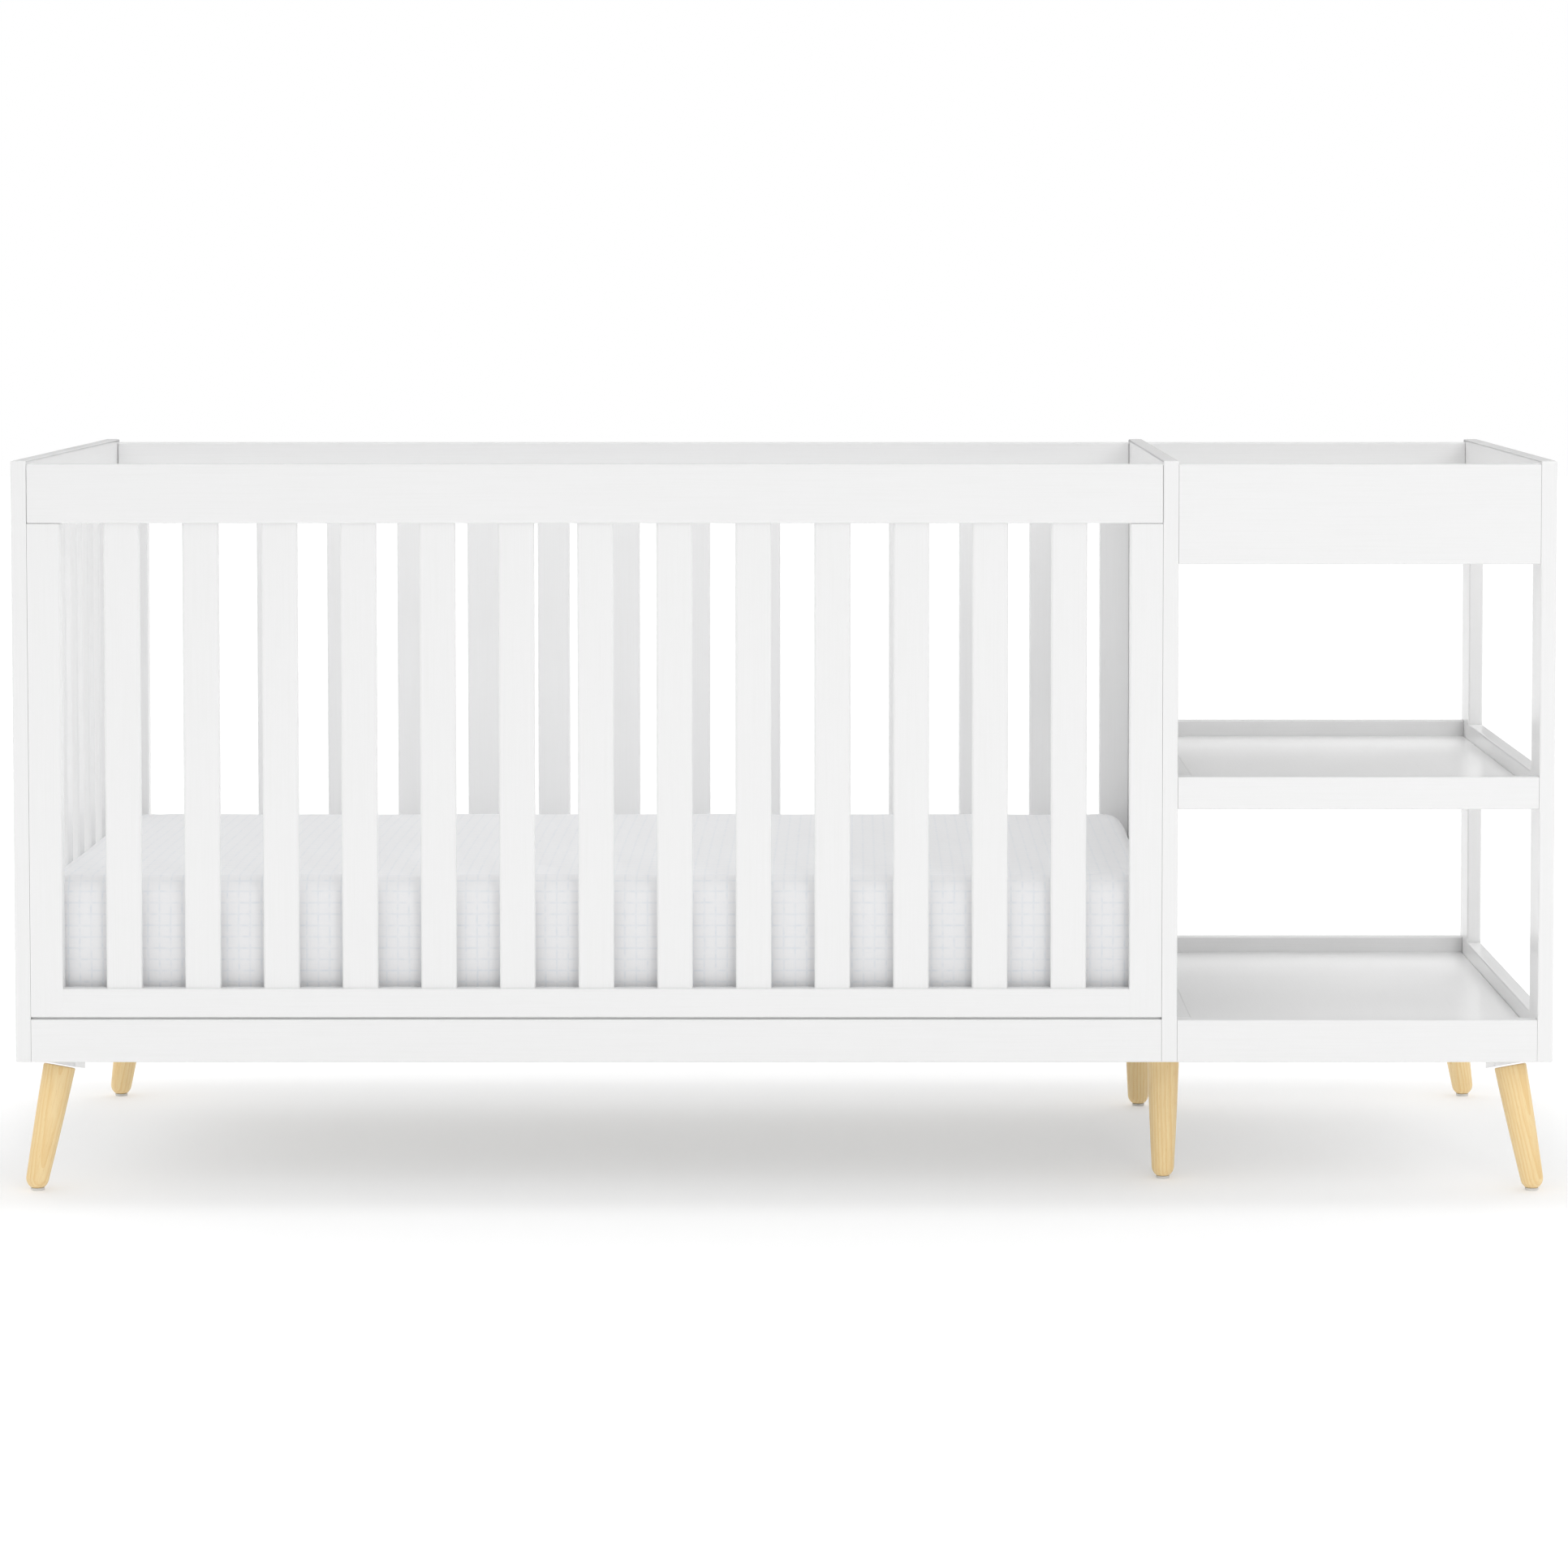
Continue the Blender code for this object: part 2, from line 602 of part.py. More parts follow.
def mattress_support():
    """The slatted deck, with a bracket and a bolt head at each corner."""
    half_y = DEPTH / 2 - LONG_THICKNESS - SUPPORT_SIDE_CLEARANCE
    left = CRIB_LEFT_X + SUPPORT_END_CLEARANCE
    right = CRIB_RIGHT_X - SUPPORT_END_CLEARANCE
    deck = slatted_panel(
        "mattress_support",
        Vector((left, -half_y, SUPPORT_BOTTOM)),
        Vector((right, half_y, SUPPORT_TOP)),
        Vector((left + SUPPORT_RAIL_WIDTH, -half_y + SUPPORT_RAIL_WIDTH, 0)),
        Vector((right - SUPPORT_RAIL_WIDTH, half_y - SUPPORT_RAIL_WIDTH, 0)),
        row=0,
        length=1,
        count=SUPPORT_SLAT_COUNT,
        width=SUPPORT_SLAT_WIDTH,
    )
    for side_x, face_x in ((-1, CRIB_LEFT_X), (1, CRIB_RIGHT_X)):
        for side_y in (-1, 1):
            label = f"support_bracket_{side_x}_{side_y}"
            outer = face_x - side_x * JOINT_GAP
            inner = outer - side_x * BRACKET_THICKNESS
            middle_y = side_y * (DEPTH / 2 - BRACKET_INSET)
            joined_board(
                deck,
                label,
                (min(outer, inner), middle_y - BRACKET_WIDTH / 2, BLOCK_TOP + BRACKET_CLEARANCE),
                (max(outer, inner), middle_y + BRACKET_WIDTH / 2, SUPPORT_BOTTOM + SUPPORT_THICKNESS / 2),
            )
            head = rod_mesh(
                label + "_bolt", BOLT_HEAD_RADIUS, 2 * BOLT_HEAD_HEIGHT, SMALL_ROUND_SIDES
            )
            bolt = as_cutter(label + "_bolt", head, (inner, middle_y, BOLT_HEIGHT))
            bolt.rotation_euler = (0, math.radians(90), 0)
            combine(deck, bolt, "UNION")
    return deck


def mattress():
    """A soft block with a crowned top, tucked sides and round corners."""
    length = CRIB_INNER_WIDTH - 2 * MATTRESS_END_CLEARANCE
    width = INNER_BACK_Y - INNER_FRONT_Y - 2 * MATTRESS_SIDE_CLEARANCE
    size = Vector((length, width, MATTRESS_THICKNESS))
    shape = bmesh.new()
    bmesh.ops.create_cube(shape, size=1, matrix=Matrix.Diagonal((*size, 1)))
    for axis, shares in enumerate(
        (MATTRESS_LENGTH_SHARES, MATTRESS_WIDTH_SHARES, MATTRESS_HEIGHT_SHARES)
    ):
        normal = Vector((0, 0, 0))
        normal[axis] = 1
        for share in shares:
            everything = shape.verts[:] + shape.edges[:] + shape.faces[:]
            place = normal * size[axis] * (share - 1 / 2)
            bmesh.ops.bisect_plane(shape, geom=everything, plane_co=place, plane_no=normal)
    for vertex in shape.verts:
        along = 2 * vertex.co.x / size.x
        across = 2 * vertex.co.y / size.y
        upward = 1 / 2 + vertex.co.z / size.z
        inward = MATTRESS_TUCK * (1 - 4 * upward * (1 - upward))
        if upward > 1 / 2:
            vertex.co.z += MATTRESS_CROWN * (1 - along**2) * (1 - across**2) * (2 * upward - 1)
        vertex.co.x -= inward * along
        vertex.co.y -= inward * across
    mesh = bpy.data.meshes.new("mattress")
    shape.to_mesh(mesh)
    shape.free()
    mesh.shade_smooth()
    middle_x = (CRIB_LEFT_X + CRIB_RIGHT_X) / 2
    place = (middle_x, 0, MATTRESS_BOTTOM + MATTRESS_THICKNESS / 2)
    part = add_part("mattress", mesh, "sheet_fabric", place)
    smooth = part.modifiers.new("soft_form", "SUBSURF")
    smooth.levels = 1
    smooth.render_levels = 1
    return part


def slide_anchor(name, riders):
    """An empty on the line along which the riders slide up."""
    anchor = bpy.data.objects.new(name, None)
    anchor.location = ((CRIB_LEFT_X + CRIB_RIGHT_X) / 2, 0, MATTRESS_BOTTOM)
    PARTS.objects.link(anchor)
    bpy.context.view_layer.update()
    for rider in riders:
        rider.parent = anchor
        rider.matrix_parent_inverse = anchor.matrix_world.inverted()
    return anchor


def main():
    front_panel()
    back_panel()
    end_panels()
    right_end_frame()
    base_rails()
    changer()
    legs()
    deck = mattress_support()
    pad = mattress()
    lift = slide_anchor("mattress_lift", [pad])
    slide_anchor("support_height", [deck, lift])


main()
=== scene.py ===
"""Crib with an attached changing station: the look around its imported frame.

The frame is loaded first. Each operator then builds one group of like pieces, and the last one
the stage. Sizes are in metres, X runs from the crib to the changer, -Y faces the viewer, +Z is up.
"""

import math
from functools import cache
from itertools import product

import bpy
import numpy as np
from bpy.props import FloatProperty, FloatVectorProperty, IntProperty, PointerProperty
from mathutils import Matrix, Vector


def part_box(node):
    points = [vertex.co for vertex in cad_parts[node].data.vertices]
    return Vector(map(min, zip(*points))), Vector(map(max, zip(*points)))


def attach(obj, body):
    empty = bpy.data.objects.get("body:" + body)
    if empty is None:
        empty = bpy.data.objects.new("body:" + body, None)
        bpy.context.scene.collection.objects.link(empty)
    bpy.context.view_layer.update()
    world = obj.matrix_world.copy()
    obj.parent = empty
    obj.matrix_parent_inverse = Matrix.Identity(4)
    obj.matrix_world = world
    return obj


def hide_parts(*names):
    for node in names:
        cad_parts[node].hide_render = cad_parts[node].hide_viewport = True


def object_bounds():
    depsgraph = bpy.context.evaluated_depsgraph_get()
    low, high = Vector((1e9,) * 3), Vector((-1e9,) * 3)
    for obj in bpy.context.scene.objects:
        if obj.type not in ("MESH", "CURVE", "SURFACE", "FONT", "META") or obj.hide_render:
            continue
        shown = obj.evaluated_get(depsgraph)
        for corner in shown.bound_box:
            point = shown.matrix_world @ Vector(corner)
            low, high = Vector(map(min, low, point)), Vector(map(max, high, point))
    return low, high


bl_info = {
    "name": "Crib and changer combo",
    "version": (1, 0, 0),
    "blender": (4, 5, 0),
    "location": "3D View > Sidebar > Crib",
    "description": "Builds the look of a slatted crib with an attached changing station",
    "category": "Object",
}

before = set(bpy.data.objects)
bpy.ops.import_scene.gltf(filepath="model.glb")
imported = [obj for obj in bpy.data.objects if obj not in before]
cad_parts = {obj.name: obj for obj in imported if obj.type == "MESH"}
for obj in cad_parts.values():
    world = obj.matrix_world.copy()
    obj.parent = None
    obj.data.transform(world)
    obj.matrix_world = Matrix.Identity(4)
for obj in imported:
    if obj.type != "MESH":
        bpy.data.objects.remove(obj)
CAD_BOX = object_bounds()


def linear(colour_hex):
    """An sRGB hex colour as linear light."""
    parts = [int(colour_hex[place : place + 2], 16) / 255 for place in (0, 2, 4)]
    return tuple(c / 12.92 if c <= 0.04045 else ((c + 0.055) / 1.055) ** 2.4 for c in parts)


# Sizes and colours that a user would change


def amount(name, description, default, **more):
    """A number that a user can change, with its limits, unit or subtype."""
    return FloatProperty(name=name, description=description, default=default, **more)


def length(name, description, default):
    """A length in metres."""
    return amount(name, description, default, min=0, unit="LENGTH", precision=5)


def share(name, description, default):
    """A number from 0 to 1."""
    return amount(name, description, default, min=0, max=1, subtype="FACTOR")


def colour(name, description, default):
    """A colour, given in sRGB hex."""
    return FloatVectorProperty(
        name=name, description=description, default=linear(default), size=3, min=0, max=1,
        subtype="COLOR",
    )


class CribBoardSettings(bpy.types.PropertyGroup):
    edge: length("Eased edge", "Radius sanded on the long edges of rails and posts", 0.0018)
    slat_edge: length("Slat edge", "Radius on the edges of the slats", 0.0030)
    butt_edge: length("Butt edge", "Radius where one frame is bolted against another", 0.0007)
    glue_line: length("Glue line", "Radius left at a glued joint that was sanded flush", 0.00014)
    flush_joint: length("Flush joint", "Radius left at a joint that was lacquered over", 0.00006)
    shoulder: length("Shoulder", "Open joint between a stile and the top rail over it", 0.0006)
    groove: length("Groove", "Height of the groove between a crib panel and its base rail", 0.0024)
    groove_depth: length("Groove depth", "From the front to the tongue in that groove", 0.0063)
    lacquer: colour("Lacquer", "Colour of the sprayed lacquer", "F5F5F5")
    lacquer_shade: colour("Lacquer over grain", "Its colour in the low grain", "EFEFEE")
    roughness: share("Roughness", "Roughness of the satin lacquer", 0.33)
    peel: length("Orange peel", "Spacing of the spray texture", 0.0022)
    grain: length("Grain", "Width of the grain lines that show through the lacquer", 0.0016)
    hole_radius: length("Level hole", "Radius of the holes for the mattress levels", 0.0050)
    hole_depth: length("Hole depth", "Depth of the level holes", 0.0120)
    hole_inset: length("Hole inset", "From the front or back of a post to its holes", 0.0520)
    lowest_hole: length("Lowest hole", "Height of the lowest level hole", 0.1907)
    level_step: length("Level step", "From one mattress level to the next", 0.1000)
    level_count: IntProperty(name="Levels", description="Mattress levels", default=4, min=1)


class CribLegSettings(bpy.types.PropertyGroup):
    top_radius: length("Top radius", "Radius of a leg at its top", 0.0190)
    foot_radius: length("Foot radius", "Radius of a leg at its round foot", 0.0135)
    top_edge: length("Top edge", "Radius on the rim of the leg's top", 0.0018)
    foot_height: length("Foot height", "Height of the middle of the round foot", 0.0145)
    floor_gap: length("Floor gap", "Height of the leg's flat underside", 0.0033)
    face_gap: length("Face gap", "Gap between a leg's top and its block", 0.0018)
    splay: amount(
        "Splay", "Slope of the corner legs, sideways and outwards", math.radians(10.2),
        subtype="ANGLE",
    )
    light_wood: colour("Early wood", "Colour of the light part of a growth ring", "FDE2AC")
    dark_wood: colour("Late wood", "Colour of the dark part of a growth ring", "F2CB89")
    pore: colour("Pores", "Colour of the fine pores along the grain", "D9AE69")
    ring: length("Ring width", "Width of a growth ring", 0.0042)
    glide: colour("Glide", "Colour of the moulded glides", "E2E1DD")
    glide_edge: length("Glide edge", "Radius on the rim of a glide", 0.0009)


class CribMattressSettings(bpy.types.PropertyGroup):
    corner: length("Corner radius", "Radius of the mattress corners seen from above", 0.0340)
    edge: length("Edge radius", "Radius of the top and bottom edges", 0.0220)
    crown: length("Crown", "How far the middle of the top stands above its edges", 0.0060)
    tuck: length("Tuck", "How far the sides draw in at the top and bottom edges", 0.0036)
    crease: length("Crease", "Height of the folds that the elastic pulls into the sheet", 0.0011)
    cloth: length("Cloth", "Thickness of the sheet", 0.0005)
    hem_reach: length("Hem", "How far the sheet reaches under the mattress", 0.0560)
    gather: length("Gather", "Length of one gather along the elastic hem", 0.0150)
    gather_rise: length("Gather rise", "Height of the gathers under the mattress", 0.0016)
    grid: length("Grid", "Size of a square of the sheet's printed check", 0.0134)
    line: length("Line", "Width of a line of the check", 0.0020)
    thread: length("Thread", "Spacing of the thicker threads of the weave", 0.0011)
    sheet: colour("Sheet", "Ground colour of the sheet", "F6F6F7")
    check: colour("Check", "Colour of the check's lines", "EBEEF2")
    ticking: colour("Ticking", "Colour of the mattress cover", "EDEBE6")
    quilt: length("Quilt", "Size of a diamond quilted into the mattress cover", 0.0480)


class CribHardwareSettings(bpy.types.PropertyGroup):
    zinc: colour("Zinc", "Colour of the zinc-plated steel", "C9CACA")
    head_radius: length("Bolt head", "Radius of a support bolt's head", 0.0070)
    head_height: length("Head height", "Height of a support bolt's head", 0.0040)
    key_radius: length("Key", "Radius of the hexagon socket in the bolt heads", 0.0023)
    washer_radius: length("Washer", "Radius of the washer under a bolt head", 0.0085)
    washer: length("Washer thickness", "Thickness of that washer", 0.0009)
    insert_bore: length("Insert bore", "Radius of the thread in a level insert", 0.0030)


class CribStageSettings(bpy.types.PropertyGroup):
    floor: colour("Floor", "Colour of the seamless floor", "E6E6E6")
    # Painted light: the floor glows. glow is its lower glow under the crib, a painted shadow, and
    # far_glow its glow round the crib
    glow: amount("Floor glow", "Light that the lit floor sweep gives under the crib", 0.22, min=0)
    far_glow: amount("Far glow", "Light that the floor sweep gives round the crib", 0.32, min=0)
    painted_shadow_reach: length("Glow reach", "Distance over which the floor sweep grows bright", 0.15)
    sky: amount("Sky", "Strength of the tented studio light half way up", 1.42, min=0)
    behind: amount("Behind", "How much brighter the tent is behind the crib", 0.12)
    hem: amount("Hem", "How much lower the tent hangs behind the crib", 0.085, min=0)
    key: amount("Key", "Power of the soft light at the front right", 28, min=0, unit="POWER")
    lens: amount("Lens", "Focal length in millimetres", 114.6, min=1)
    tilt: amount("Tilt", "How far the camera looks down", math.radians(3.207), subtype="ANGLE")


SETTINGS = {
    "crib_boards": CribBoardSettings,
    "crib_legs": CribLegSettings,
    "crib_mattress": CribMattressSettings,
    "crib_hardware": CribHardwareSettings,
    "crib_stage": CribStageSettings,
}


# Meshes: a surface is (points, loops, face sizes, uv), with uv in metres for every loop

ARC_STEPS = 3  # flats in a rounded edge
CUT_STEPS = 32  # sides of a drilled hole and of the small round pieces
HOLD = 0.0006  # strip beside a rounded edge that keeps the flat's shading flat
SOFTEN = 3  # edge radii over which an edge grows back beside a flush stretch
LEAST_SHARE = 0.25  # an edge's radius stays above this share of the glue line's
GRAIN_ROOM = 3.0  # metres of the grain's texture, from which each board takes its own part
SHARP = 35  # degrees from which an edge is sharp
SMOOTH = 180  # degrees with which no edge is
# The corners of a board's outline: the two faces that meet there, and its turn's cosine and sine
CORNERS = (("+u", "+v", 1, 0), ("-u", "+v", 0, 1), ("-u", "-v", -1, 0), ("+u", "-v", 0, -1))
FACES = {"+u": (0, 3), "-u": (1, 2), "+v": (0, 1), "-v": (2, 3)}  # the corners at each face


def joined(surfaces):
    """Several surfaces as one, by laying their arrays end to end."""
    points, loops, sizes, uv = zip(*surfaces)
    offsets = np.cumsum([0] + [len(part) for part in points[:-1]])
    loops = [part + offset for part, offset in zip(loops, offsets)]
    return tuple(np.concatenate(parts) for parts in (points, loops, sizes, uv))


def ring_faces(rows, count):
    """Quads between rows of a closed ring: corner indices, and the same as (row, column)."""
    row, column = np.meshgrid(np.arange(rows - 1), np.arange(count), indexing="ij")
    steps = ((0, 0), (0, 1), (1, 1), (1, 0))
    where = np.stack([np.stack([row + down, column + on], -1) for down, on in steps], 2)
    where = where.reshape(-1, 2)
    return where[:, 0] * count + where[:, 1] % count, where


def flat_grid(line_x, line_y):
    """A grid on two lines of places: its points' (x, y), and its quads' corner indices."""
    plan = np.stack(np.meshgrid(line_x, line_y, indexing="ij"), -1)
    index = np.arange(plan.size // 2).reshape(plan.shape[:2])
    quads = np.stack([index[:-1, :-1], index[1:, :-1], index[1:, 1:], index[:-1, 1:]], -1)
    return plan.reshape(-1, 2), quads.reshape(-1, 4)


def rounded_outline(reach, radii):
    """A rectangle's outline, anticlockwise, with a quarter circle at each corner.

    reach holds one size per row towards each face, and radii one radius per row and corner. Each
    corner gives the point a strip before its arc, the arc's points, and the point a strip after it.
    """
    angles = np.linspace(0, math.pi / 2, ARC_STEPS + 1)
    across, upward = [], []
    for corner, (side_u, side_v, cos, sin) in enumerate(CORNERS):
        radius = radii[:, corner : corner + 1]
        hold = np.full_like(radius, -HOLD)
        local_u = np.concatenate([radius, radius * np.cos(angles), hold], 1)
        local_v = np.concatenate([hold, radius * np.sin(angles), radius], 1)
        middle_u = (1 if side_u == "+u" else -1) * (reach[side_u][:, None] - radius)
        middle_v = (1 if side_v == "+v" else -1) * (reach[side_v][:, None] - radius)
        across.append(middle_u + cos * local_u - sin * local_v)
        upward.append(middle_v + sin * local_u + cos * local_v)
    return np.concatenate(across, 1), np.concatenate(upward, 1)


def board(low, high, along, edge, ends, flush=(), seed=0):
    """A board: its rounded outline carried along one axis.

    At each end the outline moves on by r * (1 - sin a) while it draws in by r * (1 - cos a), which
    rounds the end's rim. flush lists (face, from, to, radius): a stretch where that face meets a
    board that was sanded level with it, so that the face's edges shrink to that radius there.
    """
    low, high = np.array(low, float), np.array(high, float)
    u, v = (along + 1) % 3, (along + 2) % 3
    quarter = np.linspace(math.pi / 2, 0, ARC_STEPS + 1)
    start, stop = (
        [
            (place, rim + HOLD),
            *((place + way * rim * (1 - math.sin(a)), rim * (1 - math.cos(a))) for a in quarter),
            (place + way * rim + way * HOLD, 0.0),
        ][::way]
        for place, rim, way in ((low[along], ends[0], 1), (high[along], ends[1], -1))
    )
    soften = SOFTEN * edge
    changes = sorted(
        place
        for _, first, last, _ in flush
        for place in (first - soften, first, last, last + soften)
        if start[-1][0] < place < stop[0][0]
    )
    places, inset = np.array(start + [(place, 0.0) for place in changes] + stop).T
    radii = np.full((len(places), 4), edge)
    insets = dict.fromkeys(FACES, inset)
    for face, first, last, radius in flush:
        away = np.maximum(np.maximum(first - places, places - last), 0)
        eased = radius + (edge - radius) * np.minimum(away / soften, 1)
        insets[face] = np.where(away == 0, insets[face] * radius / edge, insets[face])
        for corner in FACES[face]:
            radii[:, corner] = np.minimum(radii[:, corner], eased)
    least = LEAST_SHARE * bpy.context.scene.crib_boards.glue_line
    radii = np.maximum(radii - inset[:, None], least)
    half = {"u": (high[u] - low[u]) / 2, "v": (high[v] - low[v]) / 2}
    ring_u, ring_v = rounded_outline({face: half[face[1]] - insets[face] for face in FACES}, radii)
    count = ring_u.shape[1]
    points = np.empty((len(places), count, 3))
    points[..., along] = places[:, None]
    points[..., u] = ring_u + (low[u] + high[u]) / 2
    points[..., v] = ring_v + (low[v] + high[v]) / 2
    points = points.reshape(-1, 3)
    loops, where = ring_faces(len(places), count)
    plain = len(start) - 1  # a row that isn't drawn in
    outline = np.array([ring_u[plain], ring_v[plain]])
    outline = np.append(outline, outline[:, :1], 1)
    around = np.concatenate([[0], np.cumsum(np.hypot(*np.diff(outline)))])
    last_row = (len(places) - 1) * count
    caps = np.concatenate([np.arange(count)[::-1], last_row + np.arange(count)])
    uv = np.stack([places[where[:, 0]], around[where[:, 1]]], 1)
    uv = np.concatenate([uv, points[caps][:, [u, v]]])
    sizes = np.concatenate([np.full(last_row, 4), [count, count]])
    shift = np.random.default_rng(seed).uniform(0, GRAIN_ROOM, 2)
    return points, np.concatenate([loops, caps]), sizes, uv + shift


def turned(outline, steps, hexagon=()):
    """A turned body round Z: the outline's (radius, height) points swept once round.

    The first and last points lie on the axis and become poles. For the rows named in hexagon the
    radius is divided by the cosine of the angle to the nearest flat, which gives a hexagon.
    """
    outline = np.array(outline, float)
    column = np.arange(steps)
    angle = column * 2 * math.pi / steps
    radius = np.repeat(outline[1:-1, :1], steps, 1)
    flat = (angle + math.pi / 6) % (math.pi / 3) - math.pi / 6
    for row in hexagon:
        radius[row - 1] /= np.cos(flat)
    height = np.repeat(outline[1:-1, 1:], steps, 1)
    ring = np.stack([radius * np.cos(angle), radius * np.sin(angle), height], -1)
    rows = len(ring)
    points = np.concatenate([ring.reshape(-1, 3), [[0, 0, outline[0, 1]], [0, 0, outline[-1, 1]]]])
    loops, where = ring_faces(rows, steps)
    run = np.concatenate([[0], np.cumsum(np.hypot(*np.diff(outline, axis=0).T))])
    girth = 2 * math.pi * outline[:, 0].max() / steps
    loops = [loops]
    uv = [np.stack([where[:, 1] * girth, run[where[:, 0] + 1]], 1)]
    for pole, first, order, ends in (
        (0, 0, (1, 0), run[:2]), (1, (rows - 1) * steps, (0, 1), run[:-3:-1]),
    ):
        rim = [first + (column + on) % steps for on in order]
        loops.append(np.stack([np.full(steps, rows * steps + pole), *rim], 1).ravel())
        around = np.stack([column + 0.5] + [column + on for on in order], 1) * girth
        up = np.tile([ends[0], ends[1], ends[1]], (steps, 1))
        uv.append(np.stack([around, up], -1).reshape(-1, 2))
    sizes = np.concatenate([np.full((rows - 1) * steps, 4), np.full(2 * steps, 3)])
    return points, np.concatenate(loops), sizes, np.concatenate(uv)


def placed(surface, matrix):
    """The surface moved by a matrix."""
    turn = np.array(matrix.to_3x3())
    return (surface[0] @ turn.T + np.array(matrix.translation), *surface[1:])


def fill(items, name, values, kind=np.float32):
    """Sets one property of all the items of a Blender collection from an array."""
    items.foreach_set(name, np.ascontiguousarray(values, kind).ravel())


def new_mesh(name, surface):
    """The surface as a smooth mesh, whose faces are checked."""
    points, loops, sizes, uv = surface
    mesh = bpy.data.meshes.new(name)
    mesh.vertices.add(len(points))
    mesh.loops.add(len(loops))
    mesh.polygons.add(len(sizes))
    fill(mesh.vertices, "co", points)
    fill(mesh.loops, "vertex_index", loops, np.int32)
    fill(mesh.polygons, "loop_start", np.concatenate([[0], np.cumsum(sizes)[:-1]]), np.int32)
    mesh.update(calc_edges=True)
    fill(mesh.uv_layers.new(name="metres").data, "uv", uv)
    fill(mesh.polygons, "use_smooth", np.ones(len(sizes)), bool)
    if mesh.validate():
        raise RuntimeError(f"the mesh of {name} had faulty faces")
    return mesh


def new_piece(name, surface, material, body, stands_for=(), sharp=SHARP):
    """An object of the surface that rides on a body and stands for CAD nodes."""
    mesh = new_mesh(name, surface)
    mesh.set_sharp_from_angle(angle=math.radians(sharp))
    mesh.materials.append(material)
    piece = bpy.data.objects.new(name, mesh)
    bpy.context.scene.collection.objects.link(piece)
    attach(piece, body)
    if stands_for:
        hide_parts(*stands_for)
    return piece


# Materials: each is made once, when it is first asked for. A colour Mix node has its factor at
# input 0 and its colours at 6 and 7, and gives the mixed colour at output 2.

GRAIN_STRETCH = 70  # length of a line of the lacquered grain, in its widths
SLUB_SHARE = 0.06  # a slub's width as a share of its length
WANDER = (0.0016, 0.0016, 0)  # metres over which the check's lines wander


def first_output(source):
    """A node's first output. Anything else stays as it is."""
    return source.outputs[0] if isinstance(source, bpy.types.Node) else source


def add_node(tree, kind, *first, **named):
    """Adds a shader node of that kind, with its settings and links.

    first holds its first inputs in turn, or one dictionary of inputs by number. In named an input
    starts with a capital and a setting doesn't. An input gets a value, or a link from an output or
    from a node's first output.
    """
    node = tree.nodes.new("ShaderNode" + kind)
    inputs = dict(first[0] if first and isinstance(first[0], dict) else enumerate(first))
    for name, value in named.items():
        if name[0].isupper():
            inputs[name.replace("_", " ")] = value
        else:
            setattr(node, name, value)
    for name, value in inputs.items():
        value = first_output(value)
        if isinstance(value, bpy.types.NodeSocket):
            tree.links.new(value, node.inputs[name])
        else:
            node.inputs[name].default_value = value
    return node


def rgba(tone, part=1):
    """A part of a colour's light, as an opaque colour."""
    return (*(part * light for light in tone), 1)


def new_material(name, **values):
    """A material with its Principled shader's own values: (material, node tree, shader)."""
    made = bpy.data.materials.new(name)
    made.use_nodes = True
    shader = made.node_tree.nodes["Principled BSDF"]
    for socket, value in values.items():
        shader.inputs[socket.replace("_", " ")].default_value = value
    return made, made.node_tree, shader


def connect(tree, shader, layers, **links):
    """Links sockets of the shader, and bump layers, each (height, strength, distance), in turn."""
    for layer, (height, strength, distance) in enumerate(layers):
        sockets = {"Normal": links["Normal"]} if layer else {}
        sockets.update(Height=height, Strength=strength, Distance=distance)
        links["Normal"] = add_node(tree, "Bump", **sockets)
    for socket, source in links.items():
        tree.links.new(first_output(source), shader.inputs[socket.replace("_", " ")])


@cache
def lacquered_wood():
    """Satin lacquer sprayed on sanded hardwood: an even white with a soft highlight, the slight
    unevenness of the spray, and a trace of the grain that was filled under it."""
    settings = bpy.context.scene.crib_boards
    made, tree, shader = new_material(
        "sprayed_satin_lacquer_on_wood", Coat_Weight=0.50, Coat_Roughness=0.19
    )
    place = add_node(tree, "TexCoord").outputs
    stretch = (1 / (GRAIN_STRETCH * settings.grain), 1 / settings.grain, 1)
    run = add_node(tree, "Mapping", Vector=place["UV"], Scale=stretch)
    grain = add_node(tree, "TexNoise", Vector=run, Scale=1.0, Detail=3.0, Roughness=0.6)
    shown = add_node(tree, "MapRange", Value=grain, From_Min=0.42, From_Max=0.75, To_Max=0.4)
    tint = add_node(
        tree, "Mix", {0: shown, 6: rgba(settings.lacquer), 7: rgba(settings.lacquer_shade)},
        data_type="RGBA",
    )
    peel = add_node(tree, "TexNoise", Vector=place["Object"], Scale=1 / settings.peel, Detail=1.5)
    broad = add_node(tree, "TexNoise", Vector=place["Object"], Scale=7.0, Detail=3.0)
    sheen = add_node(
        tree, "MapRange", Value=broad, From_Min=0.3, From_Max=0.7, To_Min=settings.roughness - 0.04,
        To_Max=settings.roughness + 0.05,
    )
    connect(
        tree, shader, [(grain, 0.025, 0.0004), (peel, 0.07, 0.0003)],
        Base_Color=tint.outputs[2], Roughness=sheen,
    )
    return made


